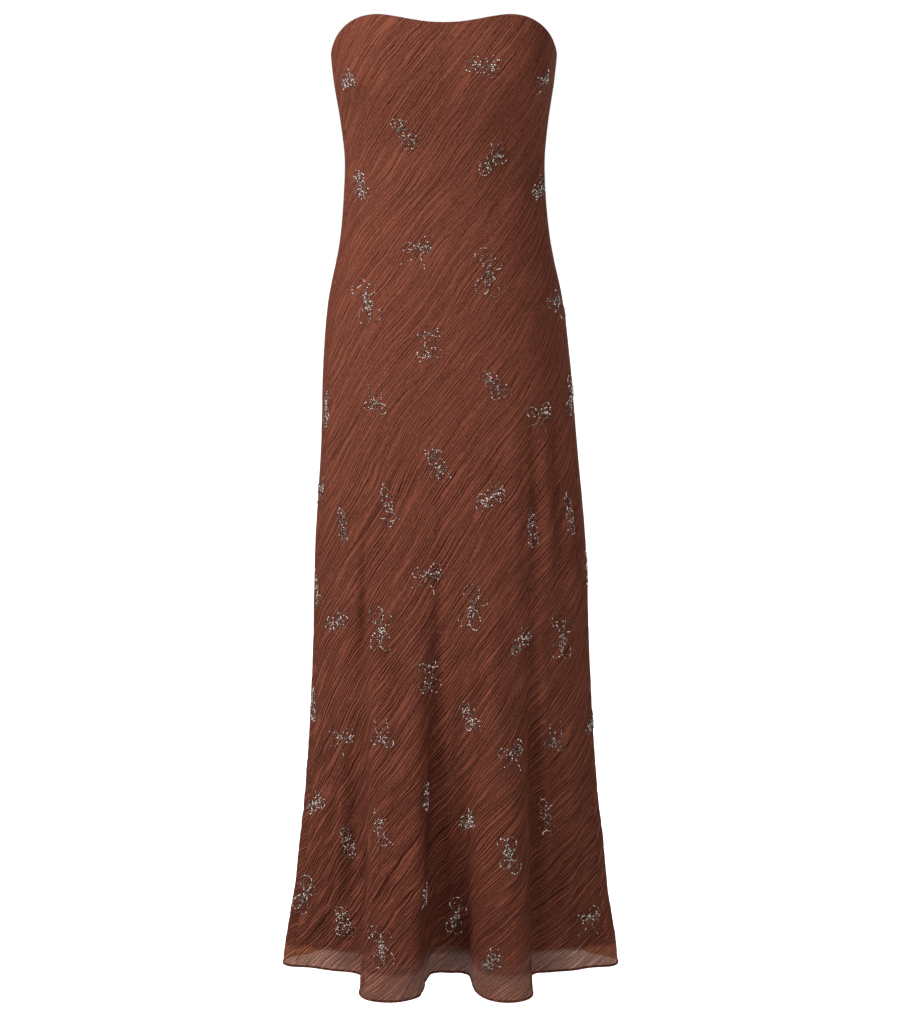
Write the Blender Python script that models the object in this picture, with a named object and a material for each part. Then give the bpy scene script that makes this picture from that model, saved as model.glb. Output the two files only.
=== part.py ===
"""Strapless maxi dress in crinkled georgette, filled out as if worn, with the hollow left empty.

Metres, +Z up, the front faces -Y, so +X is the wearer's left. The origin is level with the tops
of the two side seams, in the middle of the body, where the wearer's bust holds the dress up.
Every panel is a wall swept over one body surface: an ellipse at each height, two bust cups and
a ring of flutes that open out towards the hem. Angles go round the body from the centre front
(0 degrees), positive to +X, and 180 degrees is the centre back. Tables are in millimetres.
"""

from collections import namedtuple

import bmesh
import bpy
import numpy as np

MM = 0.001

# ---------------------------------------------------------------- driving sizes
CLOTH_WALL = 1.5
LINING_WALL = 1.2
SEAM_GAP = 0.3
PANEL_ROWS = 21
ROW_CROWDING = 1.15  # over 1 sets the rows closer together at the bust and waist
FRONT_COLUMNS = 46
BACK_COLUMNS = 27  # in each half of the back
LINING_FRONT_COLUMNS = 24
LINING_BACK_COLUMNS = 14
SIDE_SEAM_ANGLE = 75.0  # the side seams come a little forward of the sides
SLOPE_STEP = 0.05  # step for measuring the surface's slope, in degrees and in millimetres

# ---------------------------------------------------------------- the body's sections
# half_width is out to the outline, over the side flutes; sway moves the section sideways;
# front and back are the depths from the side plane, without the cups and flutes.
Section = namedtuple("Section", "height half_width sway front back")
SECTIONS = [
    Section(60, 147, -2.5, 76, 86),
    Section(0, 146, -2.5, 96, 91),
    Section(-41, 142, -2.5, 105, 90),
    Section(-92, 134.5, -2.0, 98, 86),
    Section(-143, 129.6, -1.5, 88, 82),
    Section(-185, 131, -1.5, 85, 82),
    Section(-246, 137, -1.0, 89, 91),
    Section(-324, 153, -0.5, 99, 110),
    Section(-402, 161.5, 1.0, 106, 121),
    Section(-507, 168, 4.0, 108, 119),
    Section(-640, 178.5, 6.0, 104, 110),
    Section(-801, 185, 7.0, 95, 103),
    Section(-964, 196, 7.0, 84, 95),
    Section(-1100, 210, 6.5, 72, 87),
    Section(-1185, 223.5, 6.0, 64, 82),
    Section(-1240, 229, 6.0, 60, 80),
]

# Height of the top edge: a shallow dip at the centre front, a peak over each cup, low at the back.
EdgePoint = namedtuple("EdgePoint", "angle height")
TOP_EDGE = [
    EdgePoint(0, 24),
    EdgePoint(15, 28),
    EdgePoint(25, 32.5),
    EdgePoint(34, 35.5),
    EdgePoint(45, 33.5),
    EdgePoint(55, 26),
    EdgePoint(65, 14),
    EdgePoint(75, 0),
    EdgePoint(90, -13),
    EdgePoint(120, -24),
    EdgePoint(180, -28),
]
HEM_HEIGHT = -1214.0

# One bust cup on each side, on a general figure, bridged by the cloth between them.
CUP_ANGLE = 41.0
CUP_SPREAD = 25.0
CUP_HEIGHT = -38.0
CUP_RISE = 52.0
CUP_FALL = 46.0
CUP_REACH = 17.0

# Flutes: folds that start smooth below the hips and stand out most at the hem.
# reach is how far the crest stands out at the hem, lean is how far it is carried round the body,
# and steep, from 0 to 1, is how much its sides are drawn together. A negative reach is a valley.
Flute = namedtuple("Flute", "angle half_span reach lean steep starts_at")
FLUTES = [
    Flute(-19, 22.5, 90, -7, 1.0, -540),
    Flute(17, 20.5, 90, 6, 1.0, -500),
    Flute(0, 18, -34, 0, 0, -600),
    Flute(-90, 32, 18, 0, 0.2, -820),
    Flute(90, 32, 18, 0, 0.2, -820),
    Flute(-139, 26, 74, -6, 0.6, -560),
    Flute(139, 26, 70, 6, 0.6, -600),
    Flute(-180, 25, 80, 3, 0.65, -520),
    Flute(180, 25, 80, 3, 0.65, -520),
]
SIDE_FLUTE = FLUTES[3]
FLUTE_GROWTH = 1.8  # over 1 makes a flute open slowly at first and fastest near the hem

# The slip lining hangs inside the georgette, closer to the body, and ends above its hem, so that
# the last stretch of georgette is sheer. hem_inset is its extra distance inwards at the hem,
# flute_reach and flute_span its share of each flute's reach and width, and hem_drop how far the
# hem falls at each crest, for every millimetre of reach, because bias cloth drops.
Layer = namedtuple("Layer", "wall inset hem_inset flute_reach flute_span hem_height hem_drop")
GEORGETTE = Layer(CLOTH_WALL, 0.0, 0.0, 1.0, 1.0, HEM_HEIGHT, 0.08)
LINING = Layer(LINING_WALL, 2.9, 4.5, 0.62, 0.88, HEM_HEIGHT + 24.0, 0.02)

# Concealed zip in the centre back seam: only its slider and pull show.
SLIDER_DROP = 9.0  # from the top edge down to the slider's top
SLIDER_TOP_WIDTH = 5.4
SLIDER_FOOT_WIDTH = 3.6
SLIDER_LENGTH = 9.0
SLIDER_DEPTH = 2.0
BRIDGE_RADIUS = 1.9  # the small arch on the slider that holds the pull
BRIDGE_EYE_RADIUS = 1.05
BRIDGE_THICKNESS = 1.4
BRIDGE_STANDOFF = 0.95  # from the slider's face to the middle of the bridge's eye
BRIDGE_SIDES = 24
PULL_THICKNESS = 1.0
PULL_LENGTH = 21.0
PULL_HEAD_WIDTH = 4.8
PULL_BAR = 0.96  # height of the bar that goes through the bridge
PULL_WINDOW = (2.7, 2.6)  # across and down, below the bar
PULL_NECK_WIDTH = 2.2
PULL_END_WIDTH = 5.4


# ---------------------------------------------------------------- the body surface
def smooth_through(at, values, wanted):
    """A smooth curve through (at, values), read at wanted: cubic pieces with averaged slopes."""
    at = np.asarray(at, float)
    values = np.asarray(values, float)
    slopes = np.gradient(values, at)
    wanted = np.clip(wanted, at[0], at[-1])
    piece = np.clip(np.searchsorted(at, wanted) - 1, 0, len(at) - 2)
    span = at[piece + 1] - at[piece]
    t = (wanted - at[piece]) / span
    return (
        (2 * t**3 - 3 * t**2 + 1) * values[piece]
        + (t**3 - 2 * t**2 + t) * span * slopes[piece]
        + (3 * t**2 - 2 * t**3) * values[piece + 1]
        + (t**3 - t**2) * span * slopes[piece + 1]
    )


def section_column(name, height):
    """One column of SECTIONS at any height."""
    rows = sorted(SECTIONS)
    return smooth_through([r.height for r in rows], [getattr(r, name) for r in rows], height)


def opened(starts_at, height):
    """How far a fold has opened at a height, from 0 where it starts to 1 at the hem."""
    share = (starts_at - height) / (starts_at - HEM_HEIGHT)
    return np.clip(share, 0, None) ** FLUTE_GROWTH


def flute_phase(flute, angle):
    """Place across a flute, from -1 to 1, with 0 at its crest."""
    return np.clip((angle - flute.angle) / flute.half_span, -1, 1)


def flute_crest(flute, angle):
    """How near an angle is to a flute's crest, from 0 at its sides to 1."""
    return 0.5 + 0.5 * np.cos(np.pi * flute_phase(flute, angle))


def top_height(angle):
    return smooth_through([p.angle for p in TOP_EDGE], [p.height for p in TOP_EDGE], np.abs(angle))


def hem_height(angle, layer):
    drop = sum(max(f.reach, 0) * layer.hem_drop * flute_crest(f, angle) for f in FLUTES)
    return layer.hem_height - drop


def cup_bulge(angle, height):
    """How far a cup pushes the front out."""
    across = np.exp(-(((np.abs(angle) - CUP_ANGLE) / CUP_SPREAD) ** 2))
    above = height - CUP_HEIGHT
    down = np.exp(-((above / np.where(above > 0, CUP_RISE, CUP_FALL)) ** 2))
    return CUP_REACH * across * down


def surface(angle, height, layer):
    """Points on a layer's outer face, in metres, from degrees and millimetres."""
    loose = opened(SIDE_FLUTE.starts_at, height)
    inset = layer.inset + layer.hem_inset * loose
    half_width = section_column("half_width", height) - SIDE_FLUTE.reach * loose - inset
    turn = np.radians(angle)
    depth_column = np.where(
        np.cos(turn) > 0, section_column("front", height), section_column("back", height)
    )
    depth = depth_column - inset
    # Unit directions out from the ellipse and along it, and the ellipse's length for a degree.
    out = np.stack([np.sin(turn) / half_width, np.cos(turn) / depth])
    out /= np.hypot(*out)
    along = np.stack([out[1], -out[0]])
    degree = np.hypot(half_width * np.cos(turn), depth * np.sin(turn)) * np.radians(1)
    reach = cup_bulge(angle, height)
    slide = np.zeros_like(reach)
    for flute in FLUTES:
        if flute.reach > 0:
            flute = flute._replace(
                reach=flute.reach * layer.flute_reach,
                half_span=flute.half_span * layer.flute_span,
            )
        grown = opened(flute.starts_at, height)
        crest = flute_crest(flute, angle)
        pinch = flute.steep * np.sin(2 * np.pi * flute_phase(flute, angle)) / (2 * np.pi)
        reach = reach + flute.reach * grown * crest
        slide = slide + grown * (pinch * flute.half_span * degree + flute.lean * crest)
    across = half_width * np.sin(turn) + out[0] * reach + along[0] * slide
    forward = depth * np.cos(turn) + out[1] * reach + along[1] * slide
    return np.stack([across + section_column("sway", height), -forward, height], axis=-1) * MM


def surface_normal(angle, height, layer):
    """Unit normals out of the body, from the slopes of the whole surface, so that seams match."""
    step = SLOPE_STEP
    round_it = surface(angle + step, height, layer) - surface(angle - step, height, layer)
    up_it = surface(angle, height + step, layer) - surface(angle, height - step, layer)
    normal = np.cross(round_it, up_it)
    return normal / np.linalg.norm(normal, axis=-1, keepdims=True)


def panel_angles(start, end, columns):
    """Angles of a panel's columns, evenly spaced along the folded hem."""
    fine = np.linspace(start, end, 2001)
    points = surface(fine, hem_height(fine, GEORGETTE), GEORGETTE)
    steps = np.linalg.norm(np.diff(points, axis=0), axis=1)
    length = np.concatenate([[0], np.cumsum(steps)])
    return np.interp(np.linspace(0, length[-1], columns + 1), length, fine)


def panel_grid(start, end, columns, layer):
    """Angles and heights of a panel's points, rows by columns, half a seam gap in at each side."""
    shares = np.linspace(0, 1, PANEL_ROWS + 1) ** ROW_CROWDING
    angle, share = np.meshgrid(panel_angles(start, end, columns), shares)
    for column, side in ((0, 1), (-1, -1)):
        edge = angle[:, column]
        top = top_height(edge)
        height = top + (hem_height(edge, layer) - top) * shares
        degree = surface(edge + 0.5, height, layer) - surface(edge - 0.5, height, layer)
        angle[:, column] += side * SEAM_GAP / 2 * MM / np.linalg.norm(degree, axis=-1)
    top = top_height(angle)
    return angle, top + (hem_height(angle, layer) - top) * share


# ---------------------------------------------------------------- building
def clear_scene():
    for obj in list(bpy.data.objects):
        bpy.data.objects.remove(obj)


def make_material(name, colour, roughness, metallic=0.0):
    material = bpy.data.materials.new(name)
    material.use_nodes = True
    shader = material.node_tree.nodes["Principled BSDF"]
    shader.inputs["Base Color"].default_value = (*colour, 1.0)
    shader.inputs["Roughness"].default_value = roughness
    shader.inputs["Metallic"].default_value = metallic
    return material


def make_object(name, mesh, material=None):
    obj = bpy.data.objects.new(name, mesh)
    if material:
        mesh.materials.append(material)
    bpy.context.scene.collection.objects.link(obj)
    return obj


def mesh_from_faces(name, points, faces):
    mesh = bpy.data.meshes.new(name)
    mesh.from_pydata([[float(c) for c in p] for p in points], [], faces)
    mesh.validate()
    return mesh


def wall_mesh(name, outer, inner):
    """A closed wall from two grids of points, rows by columns: two faces and the rim.

    Each cell is split along its shorter diagonal, which keeps the rounded sides smooth.
    """
    rows, columns = outer.shape[:2]
    front = [[i * columns + j for j in range(columns)] for i in range(rows)]
    back = [[k + rows * columns for k in row] for row in front]
    faces = []
    for i in range(rows - 1):
        for j in range(columns - 1):
            falling = np.linalg.norm(outer[i, j] - outer[i + 1, j + 1])
            rising = np.linalg.norm(outer[i + 1, j] - outer[i, j + 1])
            ring = [(i, j), (i + 1, j), (i + 1, j + 1), (i, j + 1)]
            if rising < falling:
                ring = ring[1:] + ring[:1]
            for corners in ((ring[0], ring[1], ring[2]), (ring[0], ring[2], ring[3])):
                faces.append([front[k][m] for k, m in corners])
                faces.append([back[k][m] for k, m in reversed(corners)])
    rim = [(0, j) for j in range(columns)]
    rim += [(i, columns - 1) for i in range(1, rows)]
    rim += [(rows - 1, j) for j in range(columns - 2, -1, -1)]
    rim += [(i, 0) for i in range(rows - 2, 0, -1)]
    for (i, j), (k, m) in zip(rim, rim[1:] + rim[:1]):
        faces.append([front[i][j], front[k][m], back[k][m], back[i][j]])
    points = np.concatenate([outer.reshape(-1, 3), inner.reshape(-1, 3)])
    mesh = mesh_from_faces(name, points, faces)
    mesh.shade_smooth()
    return mesh


def make_panel(name, start, end, columns, layer, material):
    """A cloth panel between two seam angles, from the top edge to the layer's own hem."""
    angle, height = panel_grid(start, end, columns, layer)
    outer = surface(angle, height, layer)
    inner = outer - surface_normal(angle, height, layer) * layer.wall * MM
    return make_object(name, wall_mesh(name, outer, inner), material)


def plate_mesh(name, outline, depth):
    """A flat plate, from a closed outline of (across, up) points, with its thickness along Y."""
    count = len(outline)
    points = [(x, side * depth / 2, z) for side in (-1, 1) for x, z in outline]
    near = list(range(count))
    far = [k + count for k in near]
    faces = [near, far[::-1]]
    for k in range(count):
        n = (k + 1) % count
        faces.append((near[n], near[k], far[k], far[n]))
    return mesh_from_faces(name, np.array(points) * MM, faces)


def both_sides(half):
    """A closed outline from its right half, listed from bottom to top."""
    return half + [(-x, z) for x, z in reversed(half)]


def make_cutter(name, mesh, place):
    """A hidden object that a Boolean reads."""
    obj = make_object(name, mesh)
    obj.location = place
    obj.hide_render = True
    obj.display_type = "WIRE"
    return obj


def combine(obj, other, operation):
    modifier = obj.modifiers.new(f"{operation.lower()}_{other.name}", "BOOLEAN")
    modifier.operation = operation
    modifier.object = other


def zip_hinge():
    """The line that the pull turns about: through the bridge's eye, along X. In metres."""
    top = top_height(180.0)
    slider_heights = np.linspace(top - SLIDER_DROP - SLIDER_LENGTH, top - SLIDER_DROP, 9)
    seam = surface(np.full(9, 180.0), slider_heights, GEORGETTE)
    out = seam[:, 1].max() + (SEAM_GAP + SLIDER_DEPTH + BRIDGE_STANDOFF) * MM
    return np.array([seam[4, 0], out, seam[4, 2]])


def ring_mesh(name, radius, eye_radius, thickness, sides):
    """A flat ring round the X axis."""
    turns = np.arange(sides) * 2 * np.pi / sides
    corners = [(-1, radius), (1, radius), (1, eye_radius), (-1, eye_radius)]
    points = [
        (side * thickness / 2, r * np.cos(turn), r * np.sin(turn))
        for turn in turns
        for side, r in corners
    ]
    faces = []
    for k in range(sides):
        n = (k + 1) % sides
        for c in range(4):
            d = (c + 1) % 4
            faces.append((4 * k + c, 4 * k + d, 4 * n + d, 4 * n + c))
    return mesh_from_faces(name, np.array(points) * MM, faces)


def make_slider(material):
    """The zip slider: a shield on the seam with a small bridge for the pull."""
    hinge = zip_hinge()
    end = SLIDER_LENGTH / 2
    top = SLIDER_TOP_WIDTH / 2
    foot = SLIDER_FOOT_WIDTH / 2
    half = [(foot * 0.6, -end), (foot, 0.8 - end), (top, end * 0.3), (top, end - 0.8), (top * 0.7, end)]
    slider = make_object("zip_slider", plate_mesh("zip_slider", both_sides(half), SLIDER_DEPTH), material)
    slider.location = hinge - np.array([0, BRIDGE_STANDOFF + SLIDER_DEPTH / 2, 0]) * MM
    ring = ring_mesh("bridge", BRIDGE_RADIUS, BRIDGE_EYE_RADIUS, BRIDGE_THICKNESS, BRIDGE_SIDES)
    combine(slider, make_cutter("bridge", ring, hinge), "UNION")
    return slider


def make_pull(material):
    """The pull: a flat drop that hangs from the slider's bridge by a bar over its window."""
    end_radius = PULL_END_WIDTH / 2
    end_middle = end_radius - PULL_LENGTH
    arc = np.radians(np.linspace(-90, 20, 9))
    half = [(end_radius * np.cos(a), end_middle + end_radius * np.sin(a)) for a in arc[1:]]
    half.insert(0, (0.3, end_middle + end_radius * np.sin(arc[0])))
    bar = PULL_BAR / 2
    head = PULL_HEAD_WIDTH / 2
    across, down = PULL_WINDOW
    half += [(PULL_NECK_WIDTH / 2, -PULL_LENGTH * 0.36)]
    half += [(head, -bar - down), (head, bar - 0.4), (head - 0.4, bar)]
    pull = make_object("zip_pull", plate_mesh("zip_pull", both_sides(half), PULL_THICKNESS), material)
    pull.location = zip_hinge()
    window = [(across / 2, -bar - down), (across / 2, -bar)]
    cutter = plate_mesh("pull_window", both_sides(window), 2 * PULL_THICKNESS)
    combine(pull, make_cutter("pull_window", cutter, pull.location), "DIFFERENCE")
    return pull


def main():
    clear_scene()
    georgette = make_material("georgette", (0.155, 0.046, 0.028), 0.85)
    satin = make_material("lining_satin", (0.125, 0.036, 0.022), 0.55)
    metal = make_material("zip_metal", (0.13, 0.045, 0.03), 0.4)

    seam = SIDE_SEAM_ANGLE
    make_panel("front_panel", -seam, seam, FRONT_COLUMNS, GEORGETTE, georgette)
    make_panel("back_left_panel", seam, 180, BACK_COLUMNS, GEORGETTE, georgette)
    make_panel("back_right_panel", -180, -seam, BACK_COLUMNS, GEORGETTE, georgette)
    make_panel("lining_front", -seam, seam, LINING_FRONT_COLUMNS, LINING, satin)
    make_panel("lining_back_left", seam, 180, LINING_BACK_COLUMNS, LINING, satin)
    make_panel("lining_back_right", -180, -seam, LINING_BACK_COLUMNS, LINING, satin)
    make_slider(metal)
    make_pull(metal)


main()
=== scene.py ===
# %% [markdown]
# # A strapless maxi dress in crinkled georgette
#
# The real dress has two layers. The outer one is georgette, a thin matt cloth that is twisted
# wet and dried, so that it keeps fine crinkles. Inside it hangs a shorter, opaque slip lining.
# Small ribbon bows are drawn all over the georgette with glass seed beads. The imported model
# gives the plain walls of both layers. This lesson gives them their crinkle, folds, hems, zip
# and beads, and lights them as for a catalogue.
#
# Lengths are in metres, +Z is up and the front faces -Y. Tables of the dress's own sizes are in
# millimetres, as a dressmaker's are.

# %% Load the fixed frame
from collections import namedtuple

import bmesh
import bpy
import numpy as np
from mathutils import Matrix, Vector


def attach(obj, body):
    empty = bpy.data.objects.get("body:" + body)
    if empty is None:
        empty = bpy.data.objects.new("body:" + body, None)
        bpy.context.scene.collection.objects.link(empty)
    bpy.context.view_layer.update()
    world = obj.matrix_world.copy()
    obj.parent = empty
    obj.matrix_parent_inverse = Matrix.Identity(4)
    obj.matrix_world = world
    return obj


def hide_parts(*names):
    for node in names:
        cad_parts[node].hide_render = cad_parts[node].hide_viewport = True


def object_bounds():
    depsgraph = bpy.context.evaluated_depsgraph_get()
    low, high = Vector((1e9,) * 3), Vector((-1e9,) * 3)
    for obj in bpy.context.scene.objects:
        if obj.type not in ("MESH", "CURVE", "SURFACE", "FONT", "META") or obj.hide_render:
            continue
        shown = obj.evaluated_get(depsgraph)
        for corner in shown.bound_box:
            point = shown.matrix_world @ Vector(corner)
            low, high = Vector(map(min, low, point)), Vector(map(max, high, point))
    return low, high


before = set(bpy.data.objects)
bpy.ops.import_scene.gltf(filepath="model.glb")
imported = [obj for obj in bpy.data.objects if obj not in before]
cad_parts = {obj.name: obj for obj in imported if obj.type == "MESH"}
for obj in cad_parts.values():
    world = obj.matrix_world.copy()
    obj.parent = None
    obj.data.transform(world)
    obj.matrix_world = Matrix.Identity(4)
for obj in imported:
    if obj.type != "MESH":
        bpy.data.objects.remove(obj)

MM = 0.001
cad_low, cad_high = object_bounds()
print("CAD box", [round(v, 4) for v in cad_low], [round(v, 4) for v in cad_high])

# %% [markdown]
# ## The camera
#
# A catalogue photograph of a dress is taken from far enough away that the hem isn't much
# larger than the bust. This one is 3 m away, just below the waist, and tilted down a little:
# the hem's open underside doesn't show, and the back of the hem is hidden behind the front.
# A long lens frames the dress from there.

# %% Camera
PHOTO_SIZE = (900, 1018)
CAMERA_PLACE = Vector((0.0053, -3.0, -0.24))
CAMERA_TARGET = Vector((0.0053, 0.0, -0.5985))
LENS = 80.94  # millimetres, for a picture whose long side is 36 mm on the sensor
SENSOR = 36.0
SEES_AS_FAR_AS = 100.0


def add_to_scene(name, data, place=(0.0, 0.0, 0.0), target=None):
    """An object of some data. A camera or lamp is also turned towards a target."""
    thing = bpy.data.objects.new(name, data)
    bpy.context.scene.collection.objects.link(thing)
    if target is not None:
        thing.location = place
        thing.rotation_euler = (Vector(target) - Vector(place)).to_track_quat("-Z", "Y").to_euler()
    return thing


def make_camera():
    data = bpy.data.cameras.new("camera")
    data.lens = LENS
    data.sensor_width = SENSOR
    data.clip_end = SEES_AS_FAR_AS
    bpy.context.scene.camera = add_to_scene("camera", data, CAMERA_PLACE, CAMERA_TARGET)


make_camera()
print("camera", round((CAMERA_TARGET - CAMERA_PLACE).length, 3), "m from the dress")

# %% [markdown]
# ## Light and floor
#
# The picture is lit by one broad lamp at the front left, so the cloth is brightest at the
# left and turns darker round to the right, and by a bright white room. A weak lamp at the right
# fills the shade, and one behind shows the back in other views. Area lights give that soft
# edge. The world is plain white. Its colour as a background and its strength as a light are set
# apart with a Light Path node, which is a common studio trick: the background stays white
# however dim the room's light is. The view transform is Standard, so white stays white.

# %% Light
Lamp = namedtuple("Lamp", "name place target size watts")
LAMPS = (
    Lamp("key", (-1.65, -1.25, 1.3), (0.0, 0.0, -0.3), 1.2, 59.0),
    Lamp("fill", (1.8, -2.4, -0.5), (0.0, 0.0, -0.6), 1.6, 12.0),
    Lamp("back", (1.2, 2.6, 0.7), (0.0, 0.0, -0.6), 1.8, 26.0),
)
ROOM_LIGHT = 0.2
WHITE = (1.0, 1.0, 1.0, 1.0)


def make_world():
    world = bpy.data.worlds.new("white_room")
    world.use_nodes = True
    tree = world.node_tree
    background = tree.nodes["Background"]
    background.inputs["Color"].default_value = WHITE
    path = tree.nodes.new("ShaderNodeLightPath")
    strength = tree.nodes.new("ShaderNodeMapRange")
    strength.inputs["To Min"].default_value = ROOM_LIGHT
    strength.inputs["To Max"].default_value = 1.0
    tree.links.new(path.outputs["Is Camera Ray"], strength.inputs["Value"])
    tree.links.new(strength.outputs["Result"], background.inputs["Strength"])
    bpy.context.scene.world = world


for lamp in LAMPS:
    data = bpy.data.lights.new(lamp.name, "AREA")
    data.shape, data.size, data.energy = "DISK", lamp.size, lamp.watts
    add_to_scene(lamp.name, data, lamp.place, lamp.target)
make_world()
bpy.context.scene.view_settings.view_transform = "Standard"
print("lamps", [lamp.name for lamp in LAMPS])

# %% [markdown]
# ## Helpers for materials
#
# A material is a small network of nodes. These helpers keep the networks short to write: one
# adds a node, sets its options and feeds its sockets, another starts a material and hands back
# its Principled shader, and the rest are the few nodes that every finish here is made of.

# %% Material helpers


def feed(tree, socket, value):
    """Sets a socket to a constant, or links another socket to it."""
    if isinstance(value, bpy.types.NodeSocket):
        tree.links.new(value, socket)
    else:
        socket.default_value = value


def feed_shader(shader, **values):
    """Feeds a shader's sockets, which are named with _ for a space."""
    for name, value in values.items():
        feed(shader.id_data, shader.inputs[name.replace("_", " ")], value)


def new_material(name, **constants):
    """A material, its tree of nodes and its Principled shader."""
    material = bpy.data.materials.new(name)
    material.use_nodes = True
    shader = material.node_tree.nodes["Principled BSDF"]
    feed_shader(shader, **constants)
    return material, material.node_tree, shader


def add_node(tree, kind, inputs=(), **options):
    """Adds a shader node: options are its settings, inputs are pairs of socket and value."""
    node = tree.nodes.new("ShaderNode" + kind)
    for name, value in options.items():
        setattr(node, name, value)
    for name, value in inputs:
        feed(tree, node.inputs[name], value)
    return node


def maths(tree, operation, *values, clamp=False):
    """A Math node's result."""
    node = add_node(tree, "Math", list(enumerate(values)), operation=operation, use_clamp=clamp)
    return node.outputs[0]


def weighted(tree, *pairs):
    """The sum of values times their weights."""
    total = 0.0
    for value, weight in pairs:
        total = maths(tree, "MULTIPLY_ADD", value, weight, total)
    return total


def remap(tree, value, low, high, to_low, to_high, smooth=False):
    """A Map Range node's result."""
    kind = "SMOOTHSTEP" if smooth else "LINEAR"
    names = ("Value", "From Min", "From Max", "To Min", "To Max")
    pairs = zip(names, (value, low, high, to_low, to_high))
    return add_node(tree, "MapRange", pairs, interpolation_type=kind).outputs["Result"]


def mix_colours(tree, share, first, second):
    """A Mix node's colour: first where share is 0 and second where it is 1."""
    pairs = ((0, share), (6, first), (7, second))
    return add_node(tree, "Mix", pairs, data_type="RGBA").outputs[2]


def noise(tree, place, scale, detail, space="3D"):
    """A Noise Texture's grey value. Cloth is flat, so its noise is 2D."""
    pairs = (("Vector", place), ("Scale", scale), ("Detail", detail))
    return add_node(tree, "TexNoise", pairs, noise_dimensions=space).outputs["Fac"]


def raised(tree, height, strength, distance):
    """The normal that a Bump node gives a height."""
    pairs = (("Height", height), ("Strength", strength), ("Distance", distance))
    return add_node(tree, "Bump", pairs).outputs["Normal"]


def room_place(tree):
    """The place of each point in the object's own coordinates."""
    return add_node(tree, "TexCoord").outputs["Object"]


def cloth_place(tree):
    """The place of each point on the flat cloth, from the UV map that each sheet has."""
    return add_node(tree, "UVMap", uv_map="cloth").outputs["UV"]


def measured(tree, name):
    """A number that the mesh keeps at its points."""
    return add_node(tree, "Attribute", attribute_name=name).outputs["Fac"]


# %% Floor
FLOOR_DROP = 0.14  # how far above the floor the hem of an ankle-length dress hangs
FLOOR_RADIUS = 400.0
FLOOR_GLOW = 1.1
FLOOR_PALE = (0.93, 0.93, 0.93, 1.0)
FLOOR_SHADE = (0.90, 0.90, 0.90, 1.0)


def make_floor(height):
    material, tree, shader = new_material("studio_floor", Roughness=0.95, Emission_Color=WHITE)
    mottled = noise(tree, room_place(tree), 3.0, 2.0)
    seen = add_node(tree, "LightPath").outputs["Is Camera Ray"]
    feed_shader(
        shader,
        Base_Color=mix_colours(tree, mottled, FLOOR_SHADE, FLOOR_PALE),
        Emission_Strength=maths(tree, "MULTIPLY", seen, FLOOR_GLOW),
    )
    bpy.ops.object.select_all(action="DESELECT")
    bpy.ops.mesh.primitive_circle_add(vertices=96, radius=FLOOR_RADIUS, fill_type="NGON")
    floor = bpy.context.object
    floor.name = "floor"
    floor.data.transform(floor.matrix_world)
    for vertex in floor.data.vertices:
        vertex.co.z = height
    floor.data.materials.append(material)


make_floor(cad_low.z - FLOOR_DROP)
print("floor at", round(cad_low.z - FLOOR_DROP, 3))

# %% [markdown]
# ## The form of the dress
#
# The solids' walls are swept over one body surface: an ellipse at each height, two bust cups
# and a ring of flutes that open towards the hem. Georgette needs a far finer mesh than the
# solids have, so the same few tables and formulas are repeated here, and a point of the cloth
# is asked for by its angle round the body and its height. Angles go from the centre front,
# positive to +X, and 180 is the centre back.

# %% The tables of the form
Form = namedtuple("Form", "height half_width sway front back")
FORM_ROWS = (
    # Height, half the width, how far to +X, then how deep in front and behind, from the hem up.
    (-1240, 229, 6, 60, 80), (-1185, 223.5, 6, 64, 82), (-1100, 210, 6.5, 72, 87),
    (-964, 196, 7, 84, 95), (-801, 185, 7, 95, 103), (-640, 178.5, 6, 104, 110),
    (-507, 168, 4, 108, 119), (-402, 161.5, 1, 106, 121), (-324, 153, -0.5, 99, 110),
    (-246, 137, -1, 89, 91), (-185, 131, -1.5, 85, 82), (-143, 129.6, -1.5, 88, 82),
    (-92, 134.5, -2, 98, 86), (-41, 142, -2.5, 105, 90), (0, 146, -2.5, 96, 91),
    (60, 147, -2.5, 76, 86),
)
FORM = Form(*np.array(FORM_ROWS, float).T)
TOP_EDGE_ROWS = (
    # Degrees from the centre front or back, and the height of the top edge there.
    (0, 24), (7, 24.8), (15, 27.7), (25, 32.5), (34, 35.5), (45, 33.5),
    (55, 26), (65, 14), (75, 0), (90, -13), (120, -24), (180, -28),
)
EDGE_ANGLES, EDGE_HEIGHTS = np.array(TOP_EDGE_ROWS, float).T
HEM_HEIGHT = -1214.0
CUP_ANGLE = 41.0
CUP_SPREAD = 25.0
CUP_HEIGHT = -38.0
CUP_RISE = 52.0
CUP_FALL = 46.0
CUP_REACH = 17.0
Flute = namedtuple("Flute", "angle half_span reach lean steep starts_at")
FLUTES = [
    Flute(-19, 22.5, 90, -7, 1.0, -540),
    Flute(17, 20.5, 90, 6, 1.0, -500),
    Flute(0, 18, -34, 0, 0, -600),
    Flute(-90, 32, 18, 0, 0.2, -820),
    Flute(90, 32, 18, 0, 0.2, -820),
    Flute(-139, 26, 74, -6, 0.6, -560),
    Flute(139, 26, 70, 6, 0.6, -600),
    Flute(-180, 25, 80, 3, 0.65, -520),
    Flute(180, 25, 80, 3, 0.65, -520),
]
SIDE_FLUTE = FLUTES[3]
FLUTE_GROWTH = 1.8
Layer = namedtuple("Layer", "inset hem_inset flute_reach flute_span hem_height hem_drop")
GEORGETTE = Layer(0.0, 0.0, 1.0, 1.0, HEM_HEIGHT, 0.08)
LINING = Layer(2.9, 4.5, 0.62, 0.88, HEM_HEIGHT + 30.0, 0.02)
SIDE_SEAM = 75.0
BACK = 180.0  # the angle of the centre back

# %% The surface


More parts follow.
